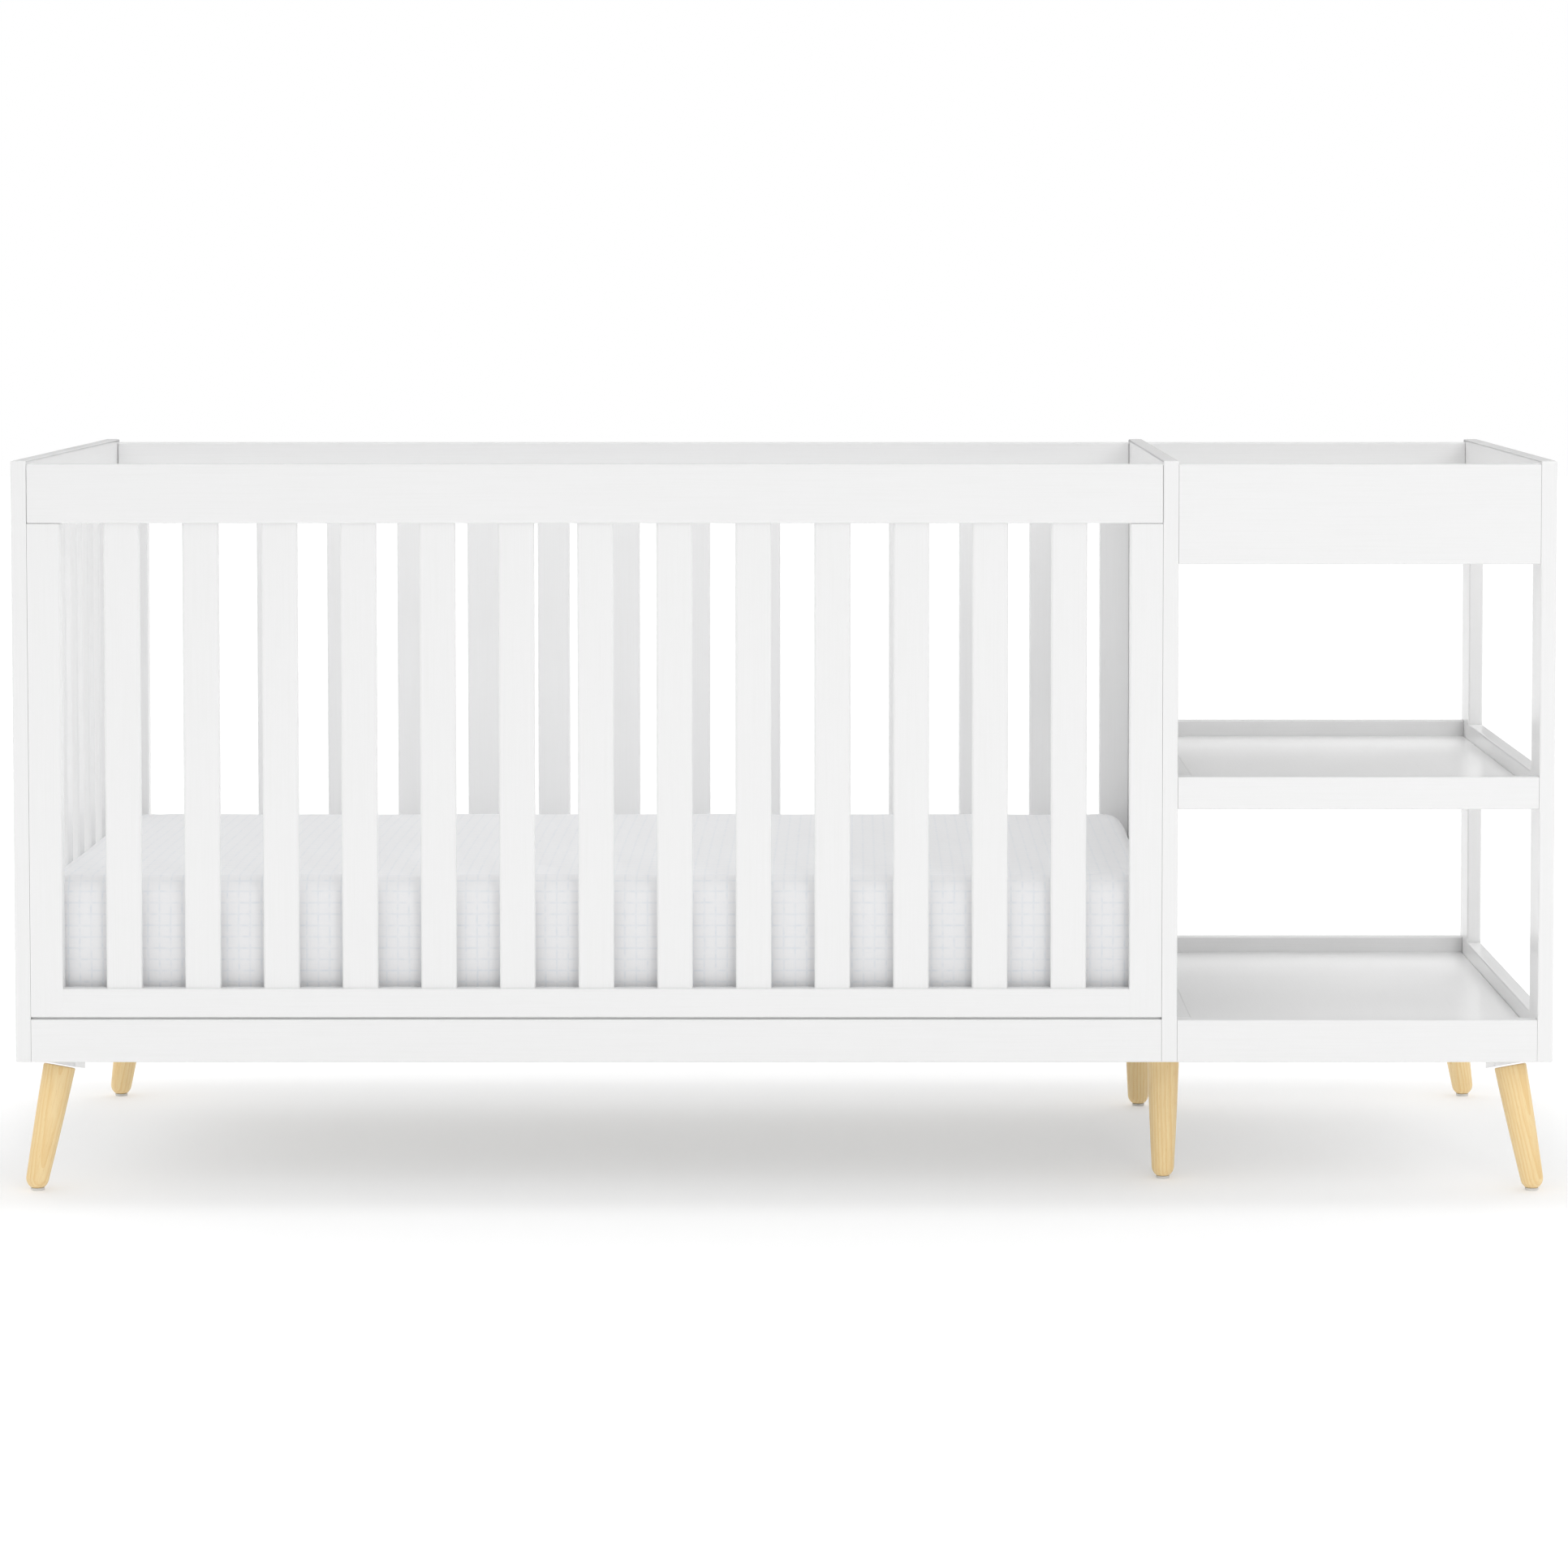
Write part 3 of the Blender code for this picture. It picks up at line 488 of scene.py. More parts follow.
@cache
def turned_wood():
    """Light hardwood turned on a lathe under a clear lacquer: pale growth rings cut into long
    arcs, fine darker pores along the grain and a soft sheen. It reads the place in the blank."""
    settings = bpy.context.scene.crib_legs
    made, tree, shader = new_material(
        "turned_light_hardwood_clear_lacquer", Coat_Weight=0.2, Coat_Roughness=0.3
    )
    place = add_node(tree, "Attribute", attribute_name="place_in_blank").outputs["Vector"]
    pith = add_node(
        tree, "Mapping", Vector=place, Location=(0.047, 0.021, 0), Rotation=(0.05, 0.03, 0)
    )
    rings = add_node(
        tree, "TexWave", Vector=pith, Scale=math.pi / (10 * settings.ring), Distortion=1.6,
        Detail=2.0, Detail_Scale=0.35, Detail_Roughness=0.5, wave_type="RINGS", rings_direction="Z",
        wave_profile="SAW",
    )
    fibres = []
    for stretch in ((800, 800, 26), (1500, 1500, 75)):
        run = add_node(tree, "Mapping", Vector=place, Scale=stretch)
        fibres.append(add_node(tree, "TexNoise", Vector=run, Scale=1.0, Detail=2.0))
    wood = rgba(settings.light_wood)
    for value, low, high, most, tone in (
        (rings.outputs[1], 0.25, 1.0, 0.60, settings.dark_wood),
        (fibres[0], 0.35, 0.75, 0.45, settings.dark_wood),
        (fibres[1], 0.60, 0.75, 0.40, settings.pore),
    ):
        much = add_node(
            tree, "MapRange", Value=value, From_Min=low, From_Max=high, To_Max=most,
            interpolation_type="SMOOTHSTEP",
        )
        tint = add_node(tree, "Mix", {0: much, 6: wood, 7: rgba(tone)}, data_type="RGBA")
        wood = tint.outputs[2]
    dull = add_node(tree, "MapRange", Value=fibres[0], To_Min=0.38, To_Max=0.54)
    connect(
        tree, shader, [(fibres[0], 0.12, 0.0004), (fibres[1], 0.10, 0.0003)],
        Base_Color=wood, Roughness=dull,
    )
    return made


@cache
def moulded_glide():
    """Polyethylene glides, injection moulded: a waxy grey with a fine matt texture."""
    settings = bpy.context.scene.crib_legs
    made, tree, shader = new_material("moulded_polyethylene", Roughness=0.46)
    place = add_node(tree, "TexCoord").outputs["Object"]
    fine = add_node(tree, "TexNoise", Vector=place, Scale=2500.0)
    broad = add_node(tree, "TexNoise", Vector=place, Scale=180.0)
    tint = add_node(
        tree, "Mix", {0: broad, 6: rgba(settings.glide), 7: rgba(settings.glide, 0.86)},
        data_type="RGBA",
    )
    connect(tree, shader, [(fine, 0.15, 0.0002)], Base_Color=tint.outputs[2])
    return made


@cache
def zinc_plated():
    """Steel fasteners with bright zinc plating: a pale metal, slightly cloudy."""
    settings = bpy.context.scene.crib_hardware
    made, tree, shader = new_material(
        "zinc_plated_steel", Metallic=1, Base_Color=rgba(settings.zinc)
    )
    place = add_node(tree, "TexCoord").outputs["Object"]
    cloud = add_node(tree, "TexNoise", Vector=place, Scale=260.0, Detail=3.0)
    fine = add_node(tree, "TexNoise", Vector=place, Scale=1800.0)
    dull = add_node(tree, "MapRange", Value=cloud, To_Min=0.20, To_Max=0.46)
    connect(tree, shader, [(fine, 0.08, 0.0002)], Roughness=dull)
    return made


@cache
def woven_percale():
    """Plain-woven cotton percale printed with a fine check: matt, soft at grazing angles, the
    check's thin lines pale and broken, with slubs in both threads drawn coarser than they are."""
    settings = bpy.context.scene.crib_mattress
    made, tree, shader = new_material(
        "printed_cotton_percale", Roughness=0.88, Sheen_Weight=0.25, Sheen_Roughness=0.6
    )
    place = add_node(tree, "TexCoord").outputs["UV"]
    threads = 1 / settings.thread
    noises = []
    for stretch, detail in (
        ((30, 30, 1), 2.0), ((110, 110, 1), 3.0), ((28, 28, 1), 4.0),
        ((SLUB_SHARE * threads, threads, 1), 2.0), ((threads, SLUB_SHARE * threads, 1), 2.0),
    ):
        run = add_node(tree, "Mapping", Vector=place, Scale=stretch)
        noises.append(add_node(tree, "TexNoise", Vector=run, Scale=1.0, Detail=detail))
    wander, patchy, soft, warp, weft = noises
    # away from the nearest line: | fraction(place / grid) - 1/2 |, the smaller of the two ways
    away = add_node(
        tree, "VectorMath", wander.outputs["Color"], WANDER, place, operation="MULTIPLY_ADD"
    )
    for operation, *value in (
        ("MULTIPLY", (1 / settings.grid, 1 / settings.grid, 0)), ("FRACTION",),
        ("SUBTRACT", (0.5, 0.5, 0)), ("ABSOLUTE",),
    ):
        away = add_node(tree, "VectorMath", away, *value, operation=operation)
    both = add_node(tree, "SeparateXYZ", away).outputs
    nearest = add_node(tree, "Math", both[0], both[1], operation="MINIMUM")
    width = settings.line / settings.grid
    line = add_node(
        tree, "MapRange", Value=nearest, From_Min=0.3 * width, From_Max=0.8 * width, To_Min=1.0,
        To_Max=0.0, interpolation_type="SMOOTHSTEP",
    )
    broken = add_node(tree, "MapRange", Value=patchy, From_Min=0.36, From_Max=0.68, To_Min=0.12)
    drawn = add_node(tree, "Math", line, broken, operation="MULTIPLY")
    slubs = add_node(tree, "Math", warp, weft, operation="MAXIMUM")
    flecks = add_node(tree, "MapRange", Value=slubs, From_Min=0.5, From_Max=0.8, To_Max=0.35)
    tint = rgba(settings.sheet)
    for much in (flecks, drawn):
        mixed = add_node(tree, "Mix", {0: much, 6: tint, 7: rgba(settings.check)}, data_type="RGBA")
        tint = mixed.outputs[2]
    connect(tree, shader, [(soft, 0.3, 0.004), (slubs, 0.12, 0.0003)], Base_Color=tint)
    return made


@cache
def quilted_ticking():
    """Knitted polyester ticking quilted to a thin wadding: matt off-white, with soft diamonds that
    sink along their stitch lines, and painted shade that darkens the colour towards those lines."""
    settings = bpy.context.scene.crib_mattress
    made, tree, shader = new_material(
        "quilted_knit_ticking", Roughness=0.9, Sheen_Weight=0.2, Sheen_Roughness=0.5
    )
    place = add_node(tree, "TexCoord").outputs["UV"]
    size = settings.quilt / math.pi
    cells = add_node(
        tree, "Mapping", Vector=place, Rotation=(0, 0, math.radians(45)), Scale=(size, size, 1),
        vector_type="TEXTURE",
    )
    parts = add_node(tree, "SeparateXYZ", cells).outputs
    waves = []
    for part in (parts[0], parts[1]):
        wave = add_node(tree, "Math", part, operation="SINE")
        waves.append(add_node(tree, "Math", wave, operation="ABSOLUTE"))
    crossed = add_node(tree, "Math", waves[0], waves[1], operation="MULTIPLY")
    pillow = add_node(tree, "Math", crossed, 0.45, operation="POWER")
    # Painted shade: the colour darkens to 0.80 of the ticking towards the stitch lines, where the
    # diamonds sink
    rise = add_node(tree, "MapRange", Value=pillow, From_Max=0.45)
    tint = add_node(
        tree, "Mix", {0: rise, 6: rgba(settings.ticking, 0.80), 7: rgba(settings.ticking)},
        data_type="RGBA",
    )
    rows = add_node(tree, "Mapping", Vector=place, Scale=(700, 1100, 1))
    knit = add_node(tree, "TexNoise", Vector=rows, Scale=1.0)
    connect(tree, shader, [(pillow, 0.7, 0.004), (knit, 0.25, 0.0004)], Base_Color=tint.outputs[2])
    return made


@cache
def seamless_floor():
    """A painted seamless floor that glows, which is painted light: pale, matt and faintly uneven.
    Its glow is lower under the crib, a painted shadow, and grows with the distance from the crib's
    outline, |place| less the half sizes."""
    settings = bpy.context.scene.crib_stage
    made, tree, shader = new_material(
        "glowing_floor_with_painted_shadow", Roughness=0.85, Emission_Color=(1, 1, 1, 1)
    )
    place = add_node(tree, "TexCoord").outputs["Object"]
    away = place
    for operation, *value in (
        ("ABSOLUTE",), ("SUBTRACT", (CAD_BOX[1][0], CAD_BOX[1][1], 0)), ("MAXIMUM", (0, 0, 0)),
        ("LENGTH",),
    ):
        away = add_node(tree, "VectorMath", away, *value, operation=operation)
    # Painted shadow: the floor glows less under the crib and more with the distance from its
    # outline
    glow = add_node(
        tree, "MapRange", Value=away.outputs["Value"], From_Min=0.0, From_Max=settings.painted_shadow_reach,
        To_Min=settings.glow, To_Max=settings.far_glow, interpolation_type="SMOOTHSTEP",
    )
    worn = add_node(tree, "TexNoise", Vector=place, Scale=1.2, Detail=4.0)
    tint = add_node(
        tree, "Mix", {0: worn, 6: rgba(settings.floor), 7: rgba(settings.floor, 0.985)},
        data_type="RGBA",
    )
    connect(tree, shader, [], Base_Color=tint.outputs[2], Emission_Strength=glow)
    return made


# The white frame: sizes inside the glued panels, which their boxes don't give

POST_DEPTH = 0.072
STILE_WIDTH = 0.038
SLAT_WIDTH = 0.042
SLAT_THICKNESS = 0.012
LONG_SLATS = 13
END_SLATS = 6
SLAT_SEAT = 0.002  # how far a slat is drawn into its mortise
BOARD_SEAT = 0.001  # how far a shelf board is drawn into its groove
TONGUE_SEAT = 0.001  # how far a base rail's tongue is drawn into the panel over it
END_RAIL_EXTRA = 0.003  # an end's top rail is this much deeper than the front's
CRIB_WALLS = ("front_base_rail", "front_left_stile")
CHANGER_WALLS = ("changer_front_apron", "middle_shelf_front_rail", "lower_shelf_front_rail")
# The first random seed of each group of boards, by which each shifts its grain
FRONT_SEED, BACK_SEED, LEFT_SEED, MIDDLE_SEED = 100, 200, 300, 340
POST_SEED, SIDE_SEED, APRON_SEED, PANEL_SEED, BATTEN_SEED = 400, 402, 410, 420, 430
BASE_SEED, TONGUE_SEED = 450, 460


def corners(node):
    """A CAD node's lowest and highest corner, as arrays that can be changed."""
    low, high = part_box(node)
    return np.array(low), np.array(high)


def slats(low, high, row, along, count, width, seed):
    """Slats with equal gaps between each other and the window's ends, centred in its thickness."""
    settings = bpy.context.scene.crib_boards
    thick = 3 - row - along
    gap = (high[row] - low[row] - count * width) / (count + 1)
    middle = (low[thick] + high[thick]) / 2
    made = []
    for number in range(count):
        first, last = np.array(low, float), np.array(high, float)
        first[row] = low[row] + gap + number * (gap + width)
        last[row] = first[row] + width
        first[thick] = middle - SLAT_THICKNESS / 2
        last[thick] = middle + SLAT_THICKNESS / 2
        first[along] -= SLAT_SEAT
        last[along] += SLAT_SEAT
        ends = (settings.glue_line, settings.glue_line)
        made.append(board(first, last, along, settings.slat_edge, ends, seed=seed + number))
    return made


def long_panel(low, high, seed):
    """The crib's front or back: a top rail over two stiles, a bottom rail between them and slats.

    Gives the top rail, left stile, right stile, bottom rail and the list of slats.
    """
    settings = bpy.context.scene.crib_boards
    edge, butt, glue = settings.edge, settings.butt_edge, settings.glue_line
    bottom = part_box("front_bottom_rail")[1].z
    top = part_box("front_top_rail")[0].z
    left = low[0] + STILE_WIDTH
    right = high[0] - STILE_WIDTH
    top_rail = board(
        (low[0], low[1], top), high, 0, edge, (edge, edge),
        [("-v", low[0], left, butt), ("-v", right, high[0], butt)], seed,
    )
    joint = (low[2], bottom, glue)
    wall = (low[2], top, glue)
    stile_top = top - settings.shoulder
    left_stile, right_stile = (
        board(
            (start, low[1], low[2]), (stop, high[1], stile_top), 2, edge, (edge, butt),
            [(inner, *joint), (outer, *wall)], seed + number,
        )
        for number, start, stop, inner, outer in (
            (1, low[0], left, "+u", "-u"), (2, right, high[0], "-u", "+u"),
        )
    )
    bottom_rail = board(
        (left, low[1], low[2]), (right, high[1], bottom), 0, edge, (glue, glue), seed=seed + 3
    )
    window = (left, low[1], bottom), (right, high[1], top)
    row = slats(*window, 0, 2, LONG_SLATS, SLAT_WIDTH, seed + 4)
    return top_rail, left_stile, right_stile, bottom_rail, row


def surface_of(mesh):
    """A mesh's arrays as a surface."""
    read = []
    for items, name, shape, kind in (
        (mesh.vertices, "co", (-1, 3), np.float32),
        (mesh.loops, "vertex_index", -1, np.int32),
        (mesh.polygons, "loop_total", -1, np.int32),
        (mesh.uv_layers["metres"].data, "uv", (-1, 2), np.float32),
    ):
        width = 1 if shape == -1 else shape[1]
        values = np.empty(width * len(items), kind)
        items.foreach_get(name, values)
        read.append(values.reshape(shape))
    return tuple(read)


def level_places(face_x):
    """Middles of the level holes in one face of an end panel, each at the mouth of its hole."""
    settings = bpy.context.scene.crib_boards
    low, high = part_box("left_end_panel")
    return [
        (face_x, inset, settings.lowest_hole + level * settings.level_step)
        for inset in (low.y + settings.hole_inset, high.y - settings.hole_inset)
        for level in range(settings.level_count)
    ]


def drilled(surface, places):
    """The surface with round blind holes along X at those places, cut by an applied Boolean."""
    settings = bpy.context.scene.crib_boards
    reach = settings.hole_depth
    rod = turned(
        [(0, -reach), (settings.hole_radius, -reach), (settings.hole_radius, reach), (0, reach)],
        CUT_STEPS,
    )
    turn = Matrix.Rotation(math.radians(90), 4, "Y")
    rods = joined([placed(rod, Matrix.Translation(place) @ turn) for place in places])
    cutter = bpy.data.objects.new("level_drill", new_mesh("level_drill", rods))
    post = bpy.data.objects.new("drilled_post", new_mesh("drilled_post", surface))
    for thing in (cutter, post):
        bpy.context.scene.collection.objects.link(thing)
    cut = post.modifiers.new("level_holes", "BOOLEAN")
    cut.operation = "DIFFERENCE"
    cut.solver = "EXACT"
    cut.object = cutter
    seen = post.evaluated_get(bpy.context.evaluated_depsgraph_get())
    result = bpy.data.meshes.new_from_object(seen)
    cut_surface = surface_of(result)
    bpy.data.meshes.remove(result)
    for thing in (cutter, post):
        bpy.data.meshes.remove(thing.data)
    return cut_surface


def end_posts(low, high, rails, walls, seed):
    """The two posts of an end, full height, level with the rails (from, to) where they meet.

    walls names the nodes whose ends stand against the posts at each face, level with their front.
    The joint shows at a stile, and was lacquered over at the others.
    """
    settings = bpy.context.scene.crib_boards
    edge, glue, flush = settings.edge, settings.glue_line, settings.flush_joint
    level = [
        (face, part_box(node)[0].z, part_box(node)[1].z, glue if "stile" in node else flush)
        for face, nodes in walls.items()
        for node in nodes
    ]
    return [
        board(
            (low[0], start, low[2]), (high[0], stop, high[2]), 2, edge, (edge, edge),
            [(inner, *rail, glue) for rail in rails] + level, seed + number,
        )
        for number, (start, stop, inner) in enumerate(
            ((low[1], low[1] + POST_DEPTH, "+v"), (high[1] - POST_DEPTH, high[1], "-v"))
        )
    ]


def end_rail(low, high, first, last, seed):
    """A rail between the two posts of an end, from one height to another."""
    settings = bpy.context.scene.crib_boards
    ends = (settings.glue_line, settings.glue_line)
    start = (low[0], low[1] + POST_DEPTH, first)
    stop = (high[0], high[1] - POST_DEPTH, last)
    return board(start, stop, 1, settings.edge, ends, seed=seed)


def slatted_end(node, top_rail_foot, hole_face_x, walls, seed):
    """A crib end: two drilled posts, two rails between them and six slats."""
    low, high = corners(node)
    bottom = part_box("front_bottom_rail")[1].z
    rails = [(low[2], bottom), (top_rail_foot, high[2])]
    posts = end_posts(low, high, rails, walls, seed)
    holes = level_places(hole_face_x)
    near = [[place for place in holes if way * place[1] > 0] for way in (-1, 1)]
    start = (low[0], low[1] + POST_DEPTH, bottom)
    stop = (high[0], high[1] - POST_DEPTH, top_rail_foot)
    return joined(
        [drilled(post, places) for post, places in zip(posts, near)]
        + [end_rail(low, high, *rail, seed + 2 + number) for number, rail in enumerate(rails)]
        + slats(start, stop, 1, 2, END_SLATS, SLAT_WIDTH, seed + 4)
    )


def new_boards(node, surface, kind="board"):
    """A lacquered piece of the fixed frame, which stands for the CAD node of its name."""
    new_piece(f"{node}_{kind}", surface, lacquered_wood(), "frame", [node])


class CribFrontPanel(bpy.types.Operator):
    """Builds the crib's front: rails, stiles and thirteen slats, each a board of its own"""

    bl_idname = "crib.front_panel"
    bl_label = "Front panel"

    def execute(self, context):
        low = corners("front_left_stile")[0]
        high = corners("front_top_rail")[1]
        *boards, row = long_panel(low, high, FRONT_SEED)
        names = ["front_top_rail", "front_left_stile", "front_right_stile", "front_bottom_rail"]
        names += [f"front_slat_{number:02d}" for number in range(1, LONG_SLATS + 1)]
        for node, surface in zip(names, boards + row):
            new_boards(node, surface)
        return {"FINISHED"}


class CribGluedPanels(bpy.types.Operator):
    """Builds the three glued panels: the back, the left end and the one beside the changer"""

    bl_idname = "crib.glued_panels"
    bl_label = "Glued panels"

    def execute(self, context):
        *boards, row = long_panel(*corners("back_panel"), BACK_SEED)
        new_boards("back_panel", joined([*boards, *row]), "boards")
        left_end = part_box("left_end_panel")[1]
        rail_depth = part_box("front_top_rail")[1].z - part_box("front_top_rail")[0].z
        for node, rail_foot, face_x, walls, seed in (
            (
                "left_end_panel", left_end.z - rail_depth - END_RAIL_EXTRA, left_end.x,
                {"+u": CRIB_WALLS}, LEFT_SEED,
            ),
            (
                "middle_panel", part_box("right_top_rail")[0].z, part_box("middle_panel")[0].x,
                {"-u": CRIB_WALLS, "+u": CHANGER_WALLS}, MIDDLE_SEED,
            ),
        ):
            new_boards(node, slatted_end(node, rail_foot, face_x, walls, seed), "boards")
        return {"FINISHED"}


class CribChanger(bpy.types.Operator):
    """Builds the changer: its open end, the aprons with the tray floor and the two shelves"""

    bl_idname = "crib.changer"
    bl_label = "Changing station"

    def execute(self, context):
        settings = context.scene.crib_boards
        edge, butt, flush = settings.edge, settings.butt_edge, settings.flush_joint
        low = corners("right_front_post")[0]
        high = corners("right_back_post")[1]
        rail_nodes = ["right_top_rail", "right_middle_rail", "right_lower_rail"]
        rails = [(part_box(node)[0].z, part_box(node)[1].z) for node in rail_nodes]
        posts = end_posts(low, high, rails, {"-u": CHANGER_WALLS}, POST_SEED)
        made = dict(zip(["right_front_post", "right_back_post"], posts))
        for number, (node, rail) in enumerate(zip(rail_nodes, rails)):
            made[node] = end_rail(low, high, *rail, SIDE_SEED + number)
        levels = (
            ("changer_front_apron", "changer_back_apron", "changing_tray_floor"),
            ("middle_shelf_front_rail", "middle_shelf_back_rail", "middle_shelf_board"),
            ("lower_shelf_front_rail", "lower_shelf_back_rail", "lower_shelf_board"),
        )
        for number, (front, back, panel) in enumerate(levels):
            for node in (front, back):
                first, last = corners(node)
                seed = APRON_SEED + len(made)
                made[node] = board(first, last, 0, edge, (flush, flush), seed=seed)
            first, last = corners(panel)
            first[1] = corners(front)[1][1] - BOARD_SEAT
            last[1] = corners(back)[0][1] + BOARD_SEAT
            made[panel] = board(first, last, 1, butt, (butt, butt), seed=PANEL_SEED + number)
        for node in ("middle_shelf_left_batten", "lower_shelf_left_batten"):
            first, last = corners(node)
            seed = BATTEN_SEED + len(made)
            made[node] = board(first, last, 1, edge, (butt, butt), seed=seed)
        for node, surface in made.items():
            new_boards(node, surface, "piece")
        return {"FINISHED"}


class CribBase(bpy.types.Operator):
    """Builds the base rails and lacquers the blocks over the legs"""

    bl_idname = "crib.base"
    bl_label = "Base"

    def execute(self, context):
        settings = context.scene.crib_boards
        ends = (settings.flush_joint, settings.flush_joint)
        panel_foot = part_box("front_bottom_rail")[0].z
        for number, node in enumerate(("front_base_rail", "back_base_rail")):
            low, high = corners(node)
            high[2] = panel_foot - settings.groove
            rail = board(low, high, 0, settings.edge, ends, seed=BASE_SEED + number)
            low[1] += settings.groove_depth
            high[1] -= settings.groove_depth
            high[2] = panel_foot + TONGUE_SEAT
            tongue = board(low, high, 0, settings.butt_edge, ends, seed=TONGUE_SEED + number)
            new_boards(node, joined([rail, tongue]))
        for node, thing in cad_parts.items():
            if node.startswith("leg_block_"):
                thing.data.materials.clear()
                thing.data.materials.append(lacquered_wood())
        return {"FINISHED"}


# Legs and glides

LEG_STEPS = 72
FOOT_ROWS = 10
TAPER_ROWS = 14
RIM_ROWS = 4
BELLY = 0.0004  # how far a leg's taper swells beyond a straight line
BLANK_SHIFT = 0.008  # how far a leg's middle may lie from its blank's
BLANK_STRETCH = (1, 1, 20)  # and this many times as far along the grain
LEG_SEED = 7
ARC_SHARE = 0.3  # a glide's rim has its middle point this share of its radius from both faces


def leg_surface(reach):
    """A leg along Z with its top at 0: a round foot, a straight taper and an eased top rim.

    The radius is r * cos a over the foot's quarter circle, then runs evenly to the top radius with
    a slight swell of sin(pi * t), and last draws in over the rim's quarter circle.
    """
    settings = bpy.context.scene.crib_legs
    foot, top, rim = settings.foot_radius, settings.top_radius, settings.top_edge
    turn = np.linspace(math.pi / 2, 0, FOOT_ROWS + 1)
    rise = np.linspace(0, 1, TAPER_ROWS + 1)[1:]
    quarter = np.linspace(0, math.pi / 2, RIM_ROWS + 1)[1:]
    taper = foot + (top - foot) * rise + BELLY * np.sin(math.pi * rise)
    radius = np.concatenate([foot * np.cos(turn), taper, top - rim * (1 - np.cos(quarter)), [0]])
    radius[0] = 0
    height = [-reach - foot * np.sin(turn), -reach + (reach - rim) * rise]
    height = np.concatenate([*height, -rim + rim * np.sin(quarter), [0]])
    return turned(np.stack([radius, height], 1), LEG_STEPS)


class CribLegs(bpy.types.Operator):
    """Turns the six legs and presses a glide into each foot"""

    bl_idname = "crib.legs"
    bl_label = "Legs and glides"

    def execute(self, context):
        settings = context.scene.crib_legs
        random = np.random.default_rng(LEG_SEED)
        slope = math.tan(settings.splay)
        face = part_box("leg_block_front_middle")[0].z
        reach = face - settings.face_gap - settings.foot_height
        for depth, side in product(("front", "back"), ("left", "middle", "right")):
            label = f"{depth}_{side}"
            low, high = corners("glide_" + label)
            foot = Vector((*(low + high)[:2] / 2, settings.foot_height))
            lean_x = {"left": -slope, "middle": 0, "right": slope}[side]
            lean_y = 0 if side == "middle" else {"front": -slope, "back": slope}[depth]
            direction = Vector((lean_x, lean_y, -1)).normalized()
            surface = leg_surface(reach)
            shift = random.uniform(-BLANK_SHIFT, BLANK_SHIFT, 3) * BLANK_STRETCH
            blank = surface[0] + shift
            spin = Matrix.Rotation(random.uniform(0, 2 * math.pi), 4, "Z")
            stance = Vector((0, 0, -1)).rotation_difference(direction).to_matrix().to_4x4()
            top = foot - direction * reach
            surface = placed(surface, Matrix.Translation(top) @ stance @ spin)
            surface[0][:, 2] = np.maximum(surface[0][:, 2], settings.floor_gap)
            piece = new_piece(
                f"turned_leg_{label}", surface, turned_wood(), "frame",
                ["leg_" + label],
            )
            layer = piece.data.attributes.new("place_in_blank", "FLOAT_VECTOR", "POINT")
            fill(layer.data, "vector", blank)
            wide, thick = (high[0] - low[0]) / 2, high[2]
            rim = settings.glide_edge
            arc = ARC_SHARE * rim
            outline = [
                (0, 0), (wide - rim, 0), (wide - arc, arc), (wide, rim), (wide, thick - arc),
                (wide - arc, thick), (0, thick),
            ]
            pad = placed(turned(outline, CUT_STEPS), Matrix.Translation((foot.x, foot.y, 0)))
            new_piece(
                f"moulded_glide_{label}", pad, moulded_glide(), "frame",
                ["glide_" + label],
            )
        return {"FINISHED"}


# The mattress support and its fasteners

SUPPORT_RAIL = 0.040
SUPPORT_SLATS = 9
SUPPORT_SLAT_WIDTH = 0.064
DECK_THICKNESS = 0.020
DECK_GAP = 0.0037  # from a cleat's outer face to the deck's end
CLEAT_THICKNESS = 0.010
CLEAT_WIDTH = 0.040
CLEAT_LAP = 0.010  # how far a cleat is let into the deck
RAIL_SEED, CROSS_SEED, DECK_SEED, CLEAT_SEED = 500, 502, 505, 520
BOLT_STEPS = 48
HEAD_FOOT = (0.0006, 0.0004)  # the head's underside: how far in it starts, how high it ends
HEAD_RIM = ((0, 0.0012), (0.0005, 0.0004), (0.0018, 0))  # the rim, from the side and the top
KEY_MOUTH = (0.0006, 0.0005)  # bevel round the hexagon socket's mouth: out and down
KEY_FLOOR = (0.0004, 0.0003)  # the socket's floor over the washer, at its rim and its middle
KEY_ROWS = (7, 8)  # the rows of the bolt's outline at the socket's mouth and floor
WASHER_BEVEL = 0.0002
INSERT_PLAY = 0.00005  # between an insert and its hole
INSERT_SUNK = 0.0008
INSERT_SEAT = 0.0005  # from an insert's end to the bottom of its hole
INSERT_BEVEL = 0.0003
INSERT_MOUTH = 0.0006  # bevel round an insert's bore
INSERT_FLOOR = 0.001  # thickness of its closed end


def cleat_faces(low, high):
    """The four cleats as (outer face x, direction into the crib, middle y)."""
    inset = bpy.context.scene.crib_boards.hole_inset
    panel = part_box("left_end_panel")
    return [
        (face, inward, middle)
        for face, inward in ((low[0], 1), (high[0], -1))
        for middle in (panel[0].y + inset, panel[1].y - inset)
    ]


